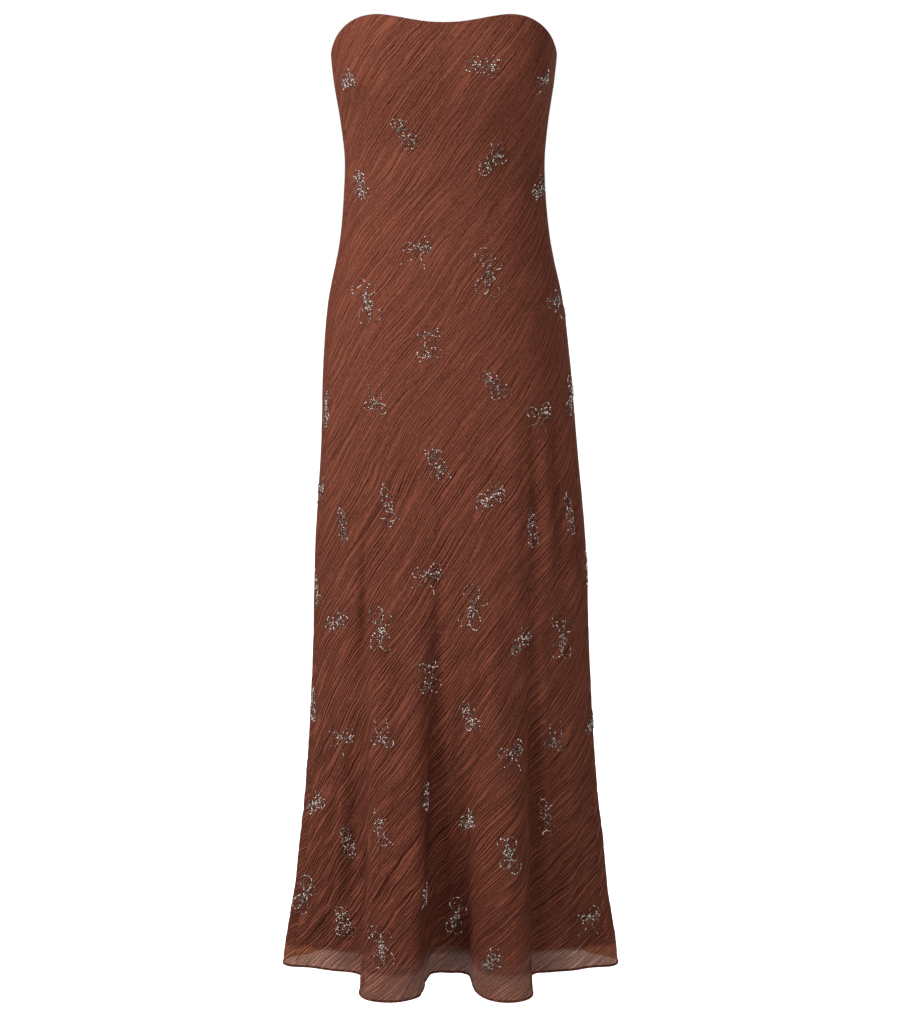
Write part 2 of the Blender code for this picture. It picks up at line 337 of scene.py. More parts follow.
def smooth_through(at, values, wanted):
    """A smooth curve through (at, values), read at wanted."""
    slopes = np.gradient(values, at)
    wanted = np.clip(wanted, at[0], at[-1])
    piece = np.clip(np.searchsorted(at, wanted) - 1, 0, len(at) - 2)
    span = at[piece + 1] - at[piece]
    t = (wanted - at[piece]) / span
    return (
        (2 * t**3 - 3 * t**2 + 1) * values[piece]
        + (t**3 - 2 * t**2 + t) * span * slopes[piece]
        + (3 * t**2 - 2 * t**3) * values[piece + 1]
        + (t**3 - t**2) * span * slopes[piece + 1]
    )


def form_at(height):
    """The form's row at each height."""
    return Form(height, *(smooth_through(FORM.height, column, height) for column in FORM[1:]))


def opened(starts_at, height):
    """How far a fold has opened at a height, from 0 where it starts to 1 at the hem."""
    share = (starts_at - height) / (starts_at - HEM_HEIGHT)
    return np.clip(share, 0, None) ** FLUTE_GROWTH


def flute_phase(flute, angle):
    return np.clip((angle - flute.angle) / flute.half_span, -1, 1)


def flute_crest(flute, angle):
    return 0.5 + 0.5 * np.cos(np.pi * flute_phase(flute, angle))


def top_height(angle):
    return smooth_through(EDGE_ANGLES, EDGE_HEIGHTS, np.abs(angle))


def hem_height(angle, layer):
    drop = sum(max(f.reach, 0) * layer.hem_drop * flute_crest(f, angle) for f in FLUTES)
    return layer.hem_height - drop


def cup_bulge(angle, height):
    across = np.exp(-(((np.abs(angle) - CUP_ANGLE) / CUP_SPREAD) ** 2))
    above = height - CUP_HEIGHT
    down = np.exp(-((above / np.where(above > 0, CUP_RISE, CUP_FALL)) ** 2))
    return CUP_REACH * across * down


def surface(angle, height, layer):
    """Points of a layer, in metres, from degrees round the body and millimetres up it."""
    form = form_at(height)
    loose = opened(SIDE_FLUTE.starts_at, height)
    inset = layer.inset + layer.hem_inset * loose
    half_width = form.half_width - SIDE_FLUTE.reach * loose - inset
    turn = np.radians(angle)
    depth = np.where(np.cos(turn) > 0, form.front, form.back) - inset
    out = np.stack([np.sin(turn) / half_width, np.cos(turn) / depth])
    out /= np.hypot(*out)
    along = np.stack([out[1], -out[0]])
    degree = np.hypot(half_width * np.cos(turn), depth * np.sin(turn)) * np.radians(1)
    reach = cup_bulge(angle, height)
    slide = np.zeros_like(reach)
    for flute in FLUTES:
        if flute.reach > 0:
            flute = flute._replace(
                reach=flute.reach * layer.flute_reach,
                half_span=flute.half_span * layer.flute_span,
            )
        grown = opened(flute.starts_at, height)
        crest = flute_crest(flute, angle)
        pinch = flute.steep * np.sin(2 * np.pi * flute_phase(flute, angle)) / (2 * np.pi)
        reach = reach + flute.reach * grown * crest
        slide = slide + grown * (pinch * flute.half_span * degree + flute.lean * crest)
    across = half_width * np.sin(turn) + out[0] * reach + along[0] * slide
    forward = depth * np.cos(turn) + out[1] * reach + along[1] * slide
    return np.stack([across + form.sway, -forward, height], axis=-1) * MM


def with_length(ways, length):
    return ways / np.linalg.norm(ways, axis=-1, keepdims=True) * length


def surface_normal(angle, height, layer, step=0.05):
    """Unit normals out of the body."""
    round_it = surface(angle + step, height, layer) - surface(angle - step, height, layer)
    up_it = surface(angle, height + step, layer) - surface(angle, height - step, layer)
    return with_length(np.cross(round_it, up_it), 1.0)


def stood_off(angle, height, layer, away):
    """Points that stand some metres off a layer, and the layer's normals there."""
    normal = surface_normal(angle, height, layer)
    return surface(angle, height, layer) + normal * np.asarray(away)[..., None], normal


waist = surface(np.array([-90.0, 90.0]), np.array([-143.0, -143.0]), GEORGETTE)
print("waist is", round(float(waist[1, 0] - waist[0, 0]), 3), "m wide")

# %% [markdown]
# ## Where a point lies on the flat cloth
#
# Crinkle, weave and beads belong to the cloth and not to the room, so they need the cloth's
# own coordinates: how far a point is from the middle of its panel, measured along the cloth
# over every fold, and how far down it is. The distance round the body is added up once on a
# table of angles and heights, and every later question reads that table.

# %% Cloth coordinates
DEGREE_STEP = 0.25
HEIGHT_STEP = 10.0
LOWEST, HIGHEST = -1240.0, 60.0
TABLE_ANGLES = np.arange(-BACK, BACK + 0.01, DEGREE_STEP)
TABLE_HEIGHTS = np.arange(LOWEST, HIGHEST + 1, HEIGHT_STEP)


def run_along(points, axis=0):
    """The length along a line of points, from 0 at its start."""
    steps = np.linalg.norm(np.diff(points, axis=axis), axis=-1)
    return np.insert(np.cumsum(steps, axis=axis), 0, 0.0, axis=axis)


def round_the_body():
    """The length along the georgette from the centre back, for each height and angle, in metres."""
    angle, height = np.meshgrid(TABLE_ANGLES, TABLE_HEIGHTS)
    return run_along(surface(angle, height, GEORGETTE), axis=1)


ROUND_TABLE = round_the_body()


def length_round(angle, height):
    """Reads the table between its points."""
    column = (np.clip(angle, -BACK, BACK) + BACK) / DEGREE_STEP
    row = (np.clip(height, LOWEST, HIGHEST) - LOWEST) / HEIGHT_STEP
    left = np.clip(column.astype(int), 0, len(TABLE_ANGLES) - 2)
    low = np.clip(row.astype(int), 0, len(TABLE_HEIGHTS) - 2)
    a, b = column - left, row - low
    return (
        ROUND_TABLE[low, left] * (1 - a) * (1 - b)
        + ROUND_TABLE[low, left + 1] * a * (1 - b)
        + ROUND_TABLE[low + 1, left] * (1 - a) * b
        + ROUND_TABLE[low + 1, left + 1] * a * b
    )


def angle_at(lengths, heights):
    """The angle whose length round the body is given, for each height."""
    rows = length_round(*np.broadcast_arrays(TABLE_ANGLES[None], heights[:, None]))
    lengths = lengths % rows[:, -1]
    return np.array([np.interp(length, row, TABLE_ANGLES) for length, row in zip(lengths, rows)])


def middle_of_panel(angle):
    """The angle of the line that each panel is measured from: the centre front or back."""
    return np.where(np.abs(angle) <= SIDE_SEAM, 0.0, np.where(angle > 0, BACK, -BACK))


def across_cloth(angle, height):
    """Metres from the panel's middle line, growing with the angle."""
    return length_round(angle, height) - length_round(middle_of_panel(angle), height)


def from_seam(angle, height):
    """Metres along the cloth to the nearest seam."""
    here = length_round(angle, height)
    seams = [length_round(np.full_like(here, s), height) for s in (-BACK, -SIDE_SEAM, SIDE_SEAM, BACK)]
    return np.min([np.abs(here - seam) for seam in seams], axis=0)


hem_row = np.searchsorted(TABLE_HEIGHTS, HEM_HEIGHT)
print("the hem is", round(float(ROUND_TABLE[hem_row, -1]), 2), "m round, measured over its flutes")

# %% [markdown]
# ## Crinkle and creases as shape
#
# Georgette crinkle has several sizes at once. The finest, a few millimetres apart, is left to
# the material. The creases of a centimetre or so are real shape, made here from stretched
# noise: where the noise changes sign, the cloth has a narrow groove, so grooves run long,
# bend, fork and die out as real ones do. They lie on the bias, at about 50 degrees. On top
# come the larger folds, each listed with its own length, width and depth. Where a
# trough is deeper than the room between the layers, it pushes the lining in.

# %% Noise
NOISE_SIZE = 256  # the noise repeats after this many units
NOISE_GAIN = 1.6  # brings its range to about -1 to 1
NOISE_TURNS = np.random.default_rng(11).uniform(0, 2 * np.pi, (NOISE_SIZE, NOISE_SIZE))


def cloth_noise(x, y):
    """Smooth noise from about -1 to 1, whose features are one unit of x and y in size."""
    i, j = np.floor(x).astype(int), np.floor(y).astype(int)
    total = 0.0
    for di in (0, 1):
        for dj in (0, 1):
            fx, fy = x - i - di, y - j - dj
            turn = NOISE_TURNS[(i + di) % NOISE_SIZE, (j + dj) % NOISE_SIZE]
            fade = (1 - 3 * fx**2 + 2 * np.abs(fx) ** 3) * (1 - 3 * fy**2 + 2 * np.abs(fy) ** 3)
            total = total + fade * (np.cos(turn) * fx + np.sin(turn) * fy)
    return NOISE_GAIN * total


# How many metres a pattern's features are wide and high, and which part of the noise it reads.
Pattern = namedtuple("Pattern", "wide high right up")


def spread_noise(across, up, pattern):
    return cloth_noise(across / pattern.wide + pattern.right, up / pattern.high + pattern.up)


# %% Crinkle
CRINKLE_TURN = 51.0  # degrees up from the horizontal
CRINKLE_DEPTH = 0.66 * MM
# The pattern turns steeper over HIP_TO_KNEE metres below HIP, and flatter all the way below LOW.
HIP, HIP_TO_KNEE, STEEPER = -0.35, 0.6, 0.06
LOW, FLATTER, FLATTER_RIGHT = -0.95, 0.6, 2.2
SLOW_STRAY, SLOW = 0.018, Pattern(0.34, 0.34, 3.1, 8.7)  # metres that a crinkle strays
QUICK_STRAY, QUICK = 0.0025, Pattern(0.09, 0.11, 1.7, 5.2)
# The two sizes of crease, then how wide their grooves and how high the swells between them are.
WIDE_FOLDS, NARROW_FOLDS = Pattern(0.11, 0.0145, 0.0, 0.0), Pattern(0.10, 0.0085, 40.3, 17.9)
WIDE_GROOVE, NARROW_GROOVE, NARROW_SHARE = 0.16, 0.2, 0.55
WIDE_SWELL, NARROW_SWELL, GROOVE_CUT = 0.6, 0.35, 0.8
# Crinkle is stronger and weaker in patches, and grows down the skirt, which hangs free.
PATCHES = Pattern(0.13, 0.17, 9.3, 2.4)
PATCH_MIDDLE, PATCH_SPREAD, PATCH_LIMITS = 0.75, 0.4, (0.15, 1.2)
FREE_BELOW, FREE_GROWTH = -0.50, 1.4
LEAST_CRINKLE, MOST_CRINKLE = 0.24, 1.25


def grain(across, up):
    """The height that the pattern is drawn at: it turns the crinkle steeper or flatter."""
    hip = np.clip((HIP - up) / HIP_TO_KNEE, 0, 1)  # steeper from the hips to the knees
    low = np.clip(LOW - up, 0, None)  # flatter near the hem, most on the wearer's right
    flatter = FLATTER + FLATTER_RIGHT * np.clip(-across, 0, None)
    return up + STEEPER * hip**2 * (3 - 2 * hip) - flatter * low**2


def along_crinkle(across, up):
    """The cloth's coordinates turned so that one runs along the crinkles, with slow bends."""
    up = grain(across, up)
    stray = SLOW_STRAY * spread_noise(across, up, SLOW) + QUICK_STRAY * spread_noise(across, up, QUICK)
    c, s = np.cos(np.radians(CRINKLE_TURN)), np.sin(np.radians(CRINKLE_TURN))
    return across * c + up * s, -across * s + up * c + stray


def crinkle(across, up, panel_shift):
    """Height of the centimetre creases, in metres, and how deep in a groove each point is."""
    along, over = along_crinkle(across, up)
    along, over = along + panel_shift, over + panel_shift
    wide = spread_noise(along, over, WIDE_FOLDS)
    narrow = spread_noise(along, over, NARROW_FOLDS)
    patch = PATCH_MIDDLE + PATCH_SPREAD * spread_noise(across, up, PATCHES)
    free = LEAST_CRINKLE + (FREE_BELOW - up) * FREE_GROWTH
    strength = np.clip(patch, *PATCH_LIMITS) * np.clip(free, LEAST_CRINKLE, MOST_CRINKLE)
    groove = np.exp(-((wide / WIDE_GROOVE) ** 2))
    groove += NARROW_SHARE * np.exp(-((narrow / NARROW_GROOVE) ** 2))
    swell = WIDE_SWELL * np.abs(wide) + NARROW_SWELL * np.abs(narrow)
    return CRINKLE_DEPTH * strength * (swell - GROOVE_CUT * groove), groove * strength


print("creases up to", round(CRINKLE_DEPTH * MOST_CRINKLE / MM, 2), "mm deep")

# %% The larger folds, listed one by one
Crease = namedtuple("Crease", "angle height low_angle low_height width depth")
CREASE_ROWS = (
    # From where to where, in degrees and millimetres, then the width, and the height as a soft
    # ridge, or the depth as a trough where it is negative. A fold that reaches the hem is
    # written as ending below it. First the middle valley and the two front flutes.
    (-3.6, -500, -8, -1330, 9, -5.5), (0.8, -600, -0.5, -1440, 15, 8.5),
    (-13, -640, -13, -1420, 13, 5), (34, -640, 35.5, -1360, 9, -5),
    (40, -660, 39.5, -1120, 8, 4), (29, -700, 30, -1420, 12, 4),
    (-39.5, -585, -40, -840, 6, -5.5), (-32, -620, -30, -1120, 12, 5.5),
    (-22, -700, -20, -1000, 12, -2.5), (-42.5, -870, -42, -1130, 9, -5),
    (-49, -760, -48, -1250, 11, 4.5), (-53, -880, -54, -1200, 9, -3.5),
    (30, -430, 26.5, -760, 12, 3.5), (41, -450, 35.5, -740, 7, -4.5),
    (48, -470, 43.5, -750, 8, 3.5), (55.5, -430, 50, -720, 7, -4),
    (17, -640, 15, -980, 14, 3.5), (11, -700, 10, -960, 10, -2.5),
    (56, -820, 52, -1280, 14, 4.5),
    # Short bent wrinkles near the hem and at the hip.
    (-53, -1112, -70, -1146, 9, -3), (-48, -1066, -61, -1108, 8, -3),
    (-45, -1060, -72, -1190, 9, 3.5), (-40, -1075, -62, -1200, 8, -3.5),
    (-57, -1000, -76, -1100, 9, 3), (-16, -1010, -23, -1110, 8, -3),
    (-10, -1010, -16, -1150, 9, 3), (56, -1040, 40, -1180, 9, 3.5),
    (62, -1040, 48, -1190, 8, -3), (20, -1040, 13, -1160, 9, 2.5),
    (-64, -470, -70, -620, 10, 2.5), (64, -560, 60, -760, 9, 3),
    (69, -520, 66, -720, 8, -2.5),
    # The back, which the picture doesn't show: the same sorts of fold beside its own flutes.
    (150, -640, 152, -1340, 11, -4.5), (128, -700, 127, -1340, 12, 4.5),
    (116, -660, 113, -1240, 10, -4), (104, -560, 101, -960, 12, 4),
    (94, -620, 92, -1180, 10, -3.5), (163, -560, 166, -1100, 12, 4),
    (143, -470, 141, -760, 12, 3), (86, -980, 98, -1150, 9, 3),
    (120, -1020, 132, -1170, 9, -3), (158, -1000, 170, -1130, 9, 3),
    (-148, -680, -151, -1340, 11, -4.5), (-130, -640, -128, -1340, 13, 4.5),
    (-117, -720, -112, -1300, 10, -4), (-106, -520, -101, -900, 12, 3.5),
    (-95, -700, -92, -1240, 10, -3.5), (-165, -600, -167, -1160, 12, 4),
    (-140, -500, -143, -730, 11, 3), (-88, -1000, -99, -1160, 9, 3),
    (-124, -980, -136, -1150, 9, -3), (-156, -1040, -169, -1170, 9, 3),
)
CREASES = [Crease(*row) for row in CREASE_ROWS]
FOLD_REACH = 50.0  # degrees to either side that a fold can spread
FOLD_WIDTHS = 4.0  # and how many times its own width
FOLD_ENDS = 1.2  # how quickly a fold swells from its ends
SHADED_BY = 4.0  # millimetres of a trough's depth that count as one groove


def creases(angle, height, across):
    """Height of the listed folds, in metres, and how shaded each point is by a trough."""
    total, shade = np.zeros_like(across), np.zeros_like(across)
    for fold in CREASES:
        down = (fold.height - height) / (fold.height - fold.low_height)
        line = fold.angle + (fold.low_angle - fold.angle) * down
        same_panel = middle_of_panel(line) == middle_of_panel(angle)
        inside = (down > 0) & (down < 1) & (np.abs(angle - line) < FOLD_REACH) & same_panel
        side = (across[inside] - across_cloth(line[inside], height[inside])) / MM
        near = np.abs(side) < FOLD_WIDTHS * fold.width
        shape = np.sin(np.pi * down[inside]) ** FOLD_ENDS * np.exp(-((side / fold.width) ** 2)) * near
        total[inside] += fold.depth * MM * shape
        shade[inside] += max(-fold.depth, 0) / SHADED_BY * shape
    return total, shade


print(len(CREASES), "folds,", sum(fold.depth < 0 for fold in CREASES), "of them troughs")

# %% The whole relief
SEAM_QUIET = 9 * MM  # crinkle dies out this near a seam or an edge
HEM_CRINKLE = 0.35  # the share of it that is left along the hem
SEAM_TUCK = 0.7 * MM
FOLD_SHADE = 2.2
LEAST_GAP = 0.9 * MM  # air that stays between the two layers under a trough
BACK_SHIFT = 1.37  # metres along the pattern, so that the back's crinkle is its own


def room_inside(angle, height):
    """Metres from the georgette's plain form in to the lining's."""
    apart = surface(angle, height, GEORGETTE) - surface(angle, height, LINING)
    return (apart * surface_normal(angle, height, GEORGETTE)).sum(axis=-1)


def pushed_in(angle, height):
    """How far a trough of the georgette pushes the lining in, in metres."""
    folds, _ = creases(angle, height, across_cloth(angle, height))
    return np.clip(-folds - room_inside(angle, height) + LEAST_GAP, 0, None)


def relief(angle, height):
    """How far the georgette stands out from its plain form, in metres, and how far its colour is darkened: in
    grooves for the doubled cloth and as painted shade, in troughs as painted shade, and along the seams.
    """
    across, up = across_cloth(angle, height), height * MM
    shift = np.where(middle_of_panel(angle) == 0, 0.0, BACK_SHIFT)
    bumps, groove = crinkle(across, up, shift)
    edges = (
        from_seam(angle, height),
        (top_height(angle) - height) * MM,
        (height - hem_height(angle, GEORGETTE)) * MM,
    )
    seam, top, hem = (np.clip(away / SEAM_QUIET, 0, 1) for away in edges)
    quiet = seam * (2 - seam) * top * (2 - top) * (HEM_CRINKLE + (1 - HEM_CRINKLE) * hem)
    tuck = SEAM_TUCK * (1 - seam) ** 2
    folds, shade = creases(angle, height, across)
    room = room_inside(angle, height) - LEAST_GAP
    lowest = -room - np.clip(-folds - room, 0, None)
    bump = np.maximum(bumps * quiet + folds * seam - tuck, lowest)
    return bump, groove * quiet + FOLD_SHADE * shade + (1 - seam) ** 2


# %% [markdown]
# ## The sheets
#
# Each panel is one sheet: a grid of points on the surface, pushed out by the relief. Its UV
# map holds the cloth's own coordinates in metres. Two attributes go with it: how deep each
# point lies in a groove, for a darker colour there that is partly painted shade, and how far it
# is past the lining's hem, where light comes through: there the cloth is a little see-through,
# and its paler colour is painted light.

# %% Panels and meshes
Panel = namedtuple("Panel", "name start end columns lining_columns hem_columns")
PANELS = (
    Panel("front", -SIDE_SEAM, SIDE_SEAM, 256, 110, 180),
    Panel("back_left", SIDE_SEAM, BACK, 146, 64, 110),
    Panel("back_right", -BACK, -SIDE_SEAM, 146, 64, 110),
)
FINE_STEPS = 4001
WITHIN = 1e-6  # degrees inside a panel's ends, so that each seam belongs to its own panel


def panel_angles(panel, columns):
    """Angles of a panel's columns, evenly spaced along the folded hem."""
    fine = np.linspace(panel.start, panel.end, FINE_STEPS)
    length = run_along(surface(fine, hem_height(fine, GEORGETTE), GEORGETTE))
    return np.interp(np.linspace(0, length[-1], columns + 1), length, fine)


def inside_panel(panel, angle):
    return np.clip(angle, panel.start + WITHIN, panel.end - WITHIN)


def new_mesh(name, points, faces, numbers=()):
    """A smooth mesh. Numbers are attributes: their names, with a value for each point."""
    mesh = bpy.data.meshes.new(name)
    mesh.from_pydata(points.reshape(-1, 3).tolist(), [], faces)
    for title, values in numbers:
        attribute = mesh.attributes.new(title, "FLOAT", "POINT")
        attribute.data.foreach_set("value", values.astype(np.float32).ravel())
    mesh.shade_smooth()
    return mesh


def set_cloth_uv(mesh, pairs):
    """Gives the mesh its place on the flat cloth, from a pair of metres for each point."""
    corners = np.zeros(len(mesh.loops), np.int32)
    mesh.loops.foreach_get("vertex_index", corners)
    layer = mesh.uv_layers.new(name="cloth")
    layer.data.foreach_set("uv", pairs.reshape(-1, 2)[corners].astype(np.float32).ravel())


def grid_mesh(name, points, uv, numbers=()):
    """A mesh of quads from rows by columns of points, facing out of the body."""
    rows, columns = points.shape[:2]
    index = np.arange(rows * columns).reshape(rows, columns)
    corners = [index[:-1, :-1], index[1:, :-1], index[1:, 1:], index[:-1, 1:]]
    mesh = new_mesh(name, points, np.stack(corners, axis=-1).reshape(-1, 4).tolist(), numbers)
    set_cloth_uv(mesh, uv)
    return mesh


def new_piece(name, mesh, material):
    """Links a mesh as a piece of the dress's body, with the slot that its finish comes from."""
    piece = add_to_scene(name, mesh)
    mesh.materials.append(material)
    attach(piece, "dress")
    return piece


# %% Places of a sheet's points
SHEET_ROWS = 384
LINING_ROWS = 150
SHEER_FADE = 4.0  # millimetres over which the sheer band starts
SHEER_WOBBLE, WOBBLE_DEGREES, WOBBLE_ROW = 2.5, 9.0, 3.3  # its upper edge isn't quite even
FLAT_FROM, FLAT_OVER = 38.0, 14.0  # degrees past the front flutes where the hem hangs flat
SHEER_IN_FOLDS = 0.36  # a folded hem shows this share of a flat one's light


def panel_places(panel, columns, rows, layer):
    """Angles and heights of a sheet's points, from the top edge down to the layer's hem."""
    angle, share = np.meshgrid(panel_angles(panel, columns), np.linspace(0, 1, rows + 1))
    top = top_height(angle)
    height = top + (hem_height(angle, layer) - top) * share
    return inside_panel(panel, angle), height


def see_through_and_glow_share(angle, height):
    """0 where the lining backs the georgette, and up to 1 below the lining's hem, where the cloth is
    see-through and painted light makes it paler.
    """
    wobble = SHEER_WOBBLE * cloth_noise(angle / WOBBLE_DEGREES, np.full_like(angle, WOBBLE_ROW))
    bare = hem_height(angle, LINING) - height + wobble
    flat_cloth = np.clip((np.abs(angle) - FLAT_FROM) / FLAT_OVER, 0, 1)
    return np.clip(bare / SHEER_FADE, 0, 1) * (SHEER_IN_FOLDS + (1 - SHEER_IN_FOLDS) * flat_cloth)


def cloth_area(points):
    """Square metres of a grid of points."""
    one = np.cross(points[1:, :-1] - points[:-1, :-1], points[:-1, 1:] - points[:-1, :-1])
    return float(np.linalg.norm(one, axis=-1).sum())


def sheet_piece(name, points, uv, numbers, material):
    piece = new_piece(name, grid_mesh(name, points, uv, numbers), material)
    print(name, len(piece.data.polygons) * 2, "triangles,", round(cloth_area(points), 3), "m2")
    return piece


def georgette_sheet(panel, material):
    angle, height = panel_places(panel, panel.columns, SHEET_ROWS, GEORGETTE)
    bump, groove = relief(angle, height)
    points, _ = stood_off(angle, height, GEORGETTE, bump)
    across = across_cloth(angle, height)
    uv = np.stack([across, grain(across, height * MM)], axis=-1)
    numbers = (("groove", groove), ("open_weave", see_through_and_glow_share(angle, height)))
    return sheet_piece("georgette_" + panel.name, points, uv, numbers, material)


def lining_sheet(panel, material):
    angle, height = panel_places(panel, panel.lining_columns, LINING_ROWS, LINING)
    points, _ = stood_off(angle, height, LINING, -pushed_in(angle, height))
    uv = np.stack([across_cloth(angle, height), height * MM], axis=-1)
    return sheet_piece("slip_" + panel.name, points, uv, (), material)


# %% [markdown]
# ## Georgette
#
# The colour is a warm chestnut brown. Three things make it read as crinkled georgette. Fine
# crinkles catch the light through a Bump node. The grooves are darker, partly because the cloth
# is doubled there and partly as painted shade. And the cloth is a little see-through between its
# grooves, which shows where no lining backs it; there its paler colour is painted light that
# comes through. The crinkle is a node group, because the material uses it at
# two scales: a sine wave draws lines across the grain, a stretched noise lets them stray, a
# power thins them into grooves, and a second noise makes them come and go. The weave is a
# group too, and the lining uses it as well.

# %% Helpers for node groups


def turned_cloth(tree, degrees):
    """The cloth's UV turned about its corner: X runs along the given direction, Y over it."""
    turn = (("Vector", cloth_place(tree)), ("Rotation", (0.0, 0.0, -np.radians(degrees))))
    turned = add_node(tree, "Mapping", turn).outputs["Vector"]
    return add_node(tree, "SeparateXYZ", ((0, turned),)).outputs[:2]


def stretched_noise(tree, along, over, detail=0.0):
    """Noise that is one unit of each of two measures in size."""
    place = add_node(tree, "CombineXYZ", ((0, along), (1, over))).outputs[0]
    return noise(tree, place, 1.0, detail, "2D")


def new_group(name, inputs, outputs):
    """A node group of numbers: its tree, its given inputs and its result."""
    tree = bpy.data.node_groups.new(name, "ShaderNodeTree")
    for title, usual in inputs.items():
        socket = tree.interface.new_socket(title, in_out="INPUT", socket_type="NodeSocketFloat")
        socket.default_value = usual
    for title in outputs:
        tree.interface.new_socket(title, in_out="OUTPUT", socket_type="NodeSocketFloat")
    return tree, tree.nodes.new("NodeGroupInput").outputs, tree.nodes.new("NodeGroupOutput").inputs


def add_group(tree, group, **values):
    """Places a node group in a material with its own values."""
    return add_node(tree, "Group", values.items(), node_tree=group).outputs


# %% The crinkle group
SLOW_BEND, SLOW_BEND_SCALE = 0.024, 5.0  # metres that a line strays over a hand's width
QUICK_BEND, QUICK_BEND_SCALE = 0.005, 24.0  # and over a finger's width
STRAY_ACROSS = 0.42  # lines stray together over about two of them
COMES_ALONG, COMES_ACROSS, COMES_OVER = 1.6, 0.75, 0.3
SWELL = 0.35  # how far the cloth swells between its grooves


def crinkle_group():
    """Thin grooves that run, bend and fade out: Height for a bump and Line as a mask."""
    inputs = dict(Pitch=0.004, Length=0.05, Stray=9.0, Rarity=0.3, Sharp=5.0)
    tree, given, result = new_group("crinkle", inputs, ("Height", "Line"))
    x, bent = turned_cloth(tree, CRINKLE_TURN)
    uv = cloth_place(tree)
    for metres, scale in ((SLOW_BEND, SLOW_BEND_SCALE), (QUICK_BEND, QUICK_BEND_SCALE)):
        bent = maths(tree, "MULTIPLY_ADD", noise(tree, uv, scale, 1.0, "2D"), metres, bent)
    along = maths(tree, "DIVIDE", x, given["Length"])
    over = maths(tree, "DIVIDE", bent, given["Pitch"])
    stray = stretched_noise(tree, along, maths(tree, "MULTIPLY", over, STRAY_ACROSS))
    phase = maths(tree, "MULTIPLY", over, 2 * np.pi)
    phase = maths(tree, "ADD", phase, maths(tree, "MULTIPLY", stray, given["Stray"]))
    wave = remap(tree, maths(tree, "SINE", phase), -1.0, 1.0, 0.0, 1.0)
    comes_along = maths(tree, "MULTIPLY", along, COMES_ALONG)
    comes = stretched_noise(tree, comes_along, maths(tree, "MULTIPLY", over, COMES_ACROSS))
    fullest = maths(tree, "ADD", given["Rarity"], COMES_OVER)
    shows = remap(tree, comes, given["Rarity"], fullest, 0.0, 1.0, smooth=True)
    line = maths(tree, "MULTIPLY", maths(tree, "POWER", wave, given["Sharp"]), shows)
    feed(tree, result["Line"], line)
    swell = maths(tree, "MULTIPLY", maths(tree, "SUBTRACT", 1.0, wave), SWELL)
    feed(tree, result["Height"], maths(tree, "SUBTRACT", swell, line))
    return tree


CRINKLE_GROUP = crinkle_group()

# %% The weave group
WEAVE_TURN = 45.0  # the cloth is cut on the bias, so its threads lie slantwise


def weave_group():
    """The two sets of threads, uneven as crepe yarn is: Threads is 0.5 on average."""
    tree, given, result = new_group("weave", dict(Thread=0.001, Run=0.006), ("Threads",))
    ways = turned_cloth(tree, WEAVE_TURN)
    x_run, y_run = (maths(tree, "DIVIDE", way, given["Run"]) for way in ways)
    x_thread, y_thread = (maths(tree, "DIVIDE", way, given["Thread"]) for way in ways)
    warp = stretched_noise(tree, x_run, y_thread, 1.0)
    weft = stretched_noise(tree, x_thread, y_run, 1.0)
    feed(tree, result["Threads"], maths(tree, "MULTIPLY", maths(tree, "ADD", warp, weft), 0.5))
    return tree


WEAVE_GROUP = weave_group()
print("groups", [group.name for group in (CRINKLE_GROUP, WEAVE_GROUP)])

# %% The georgette material
CHESTNUT = (0.300, 0.088, 0.052, 1.0)
# The dark end: the weave's own darker threads, and the doubled cloth and painted shade in crinkle lines,
# grooves and troughs.
CHESTNUT_DEEP = (0.070, 0.017, 0.009, 1.0)
# Painted light: the paler colour of cloth that light comes through below the lining.
CHESTNUT_LIT_THROUGH = (0.49, 0.168, 0.078, 1.0)
BODICE_ENDS, SKIRT_FULL = -0.45, -1.1  # between them the crinkle grows stronger
# How dark crinkle lines and grooves are made: partly the doubled cloth's own colour, partly painted shade.
HAIR_SHADE_AND_TONE, HAIR_RISE = (0.70, 1.75), (0.55, 0.95)  # on the bodice and at the hem
LINE_SHADE_AND_TONE, LINE_RISE = (0.42, 0.75), (0.40, 0.65)
GROOVE_SHADE_AND_TONE = 0.09
THREAD_TONE, THREAD_RISE = (0.40, -0.20), 0.25
HOLE = (0.055, 0.012)  # how see-through the bare cloth is, between grooves and in them


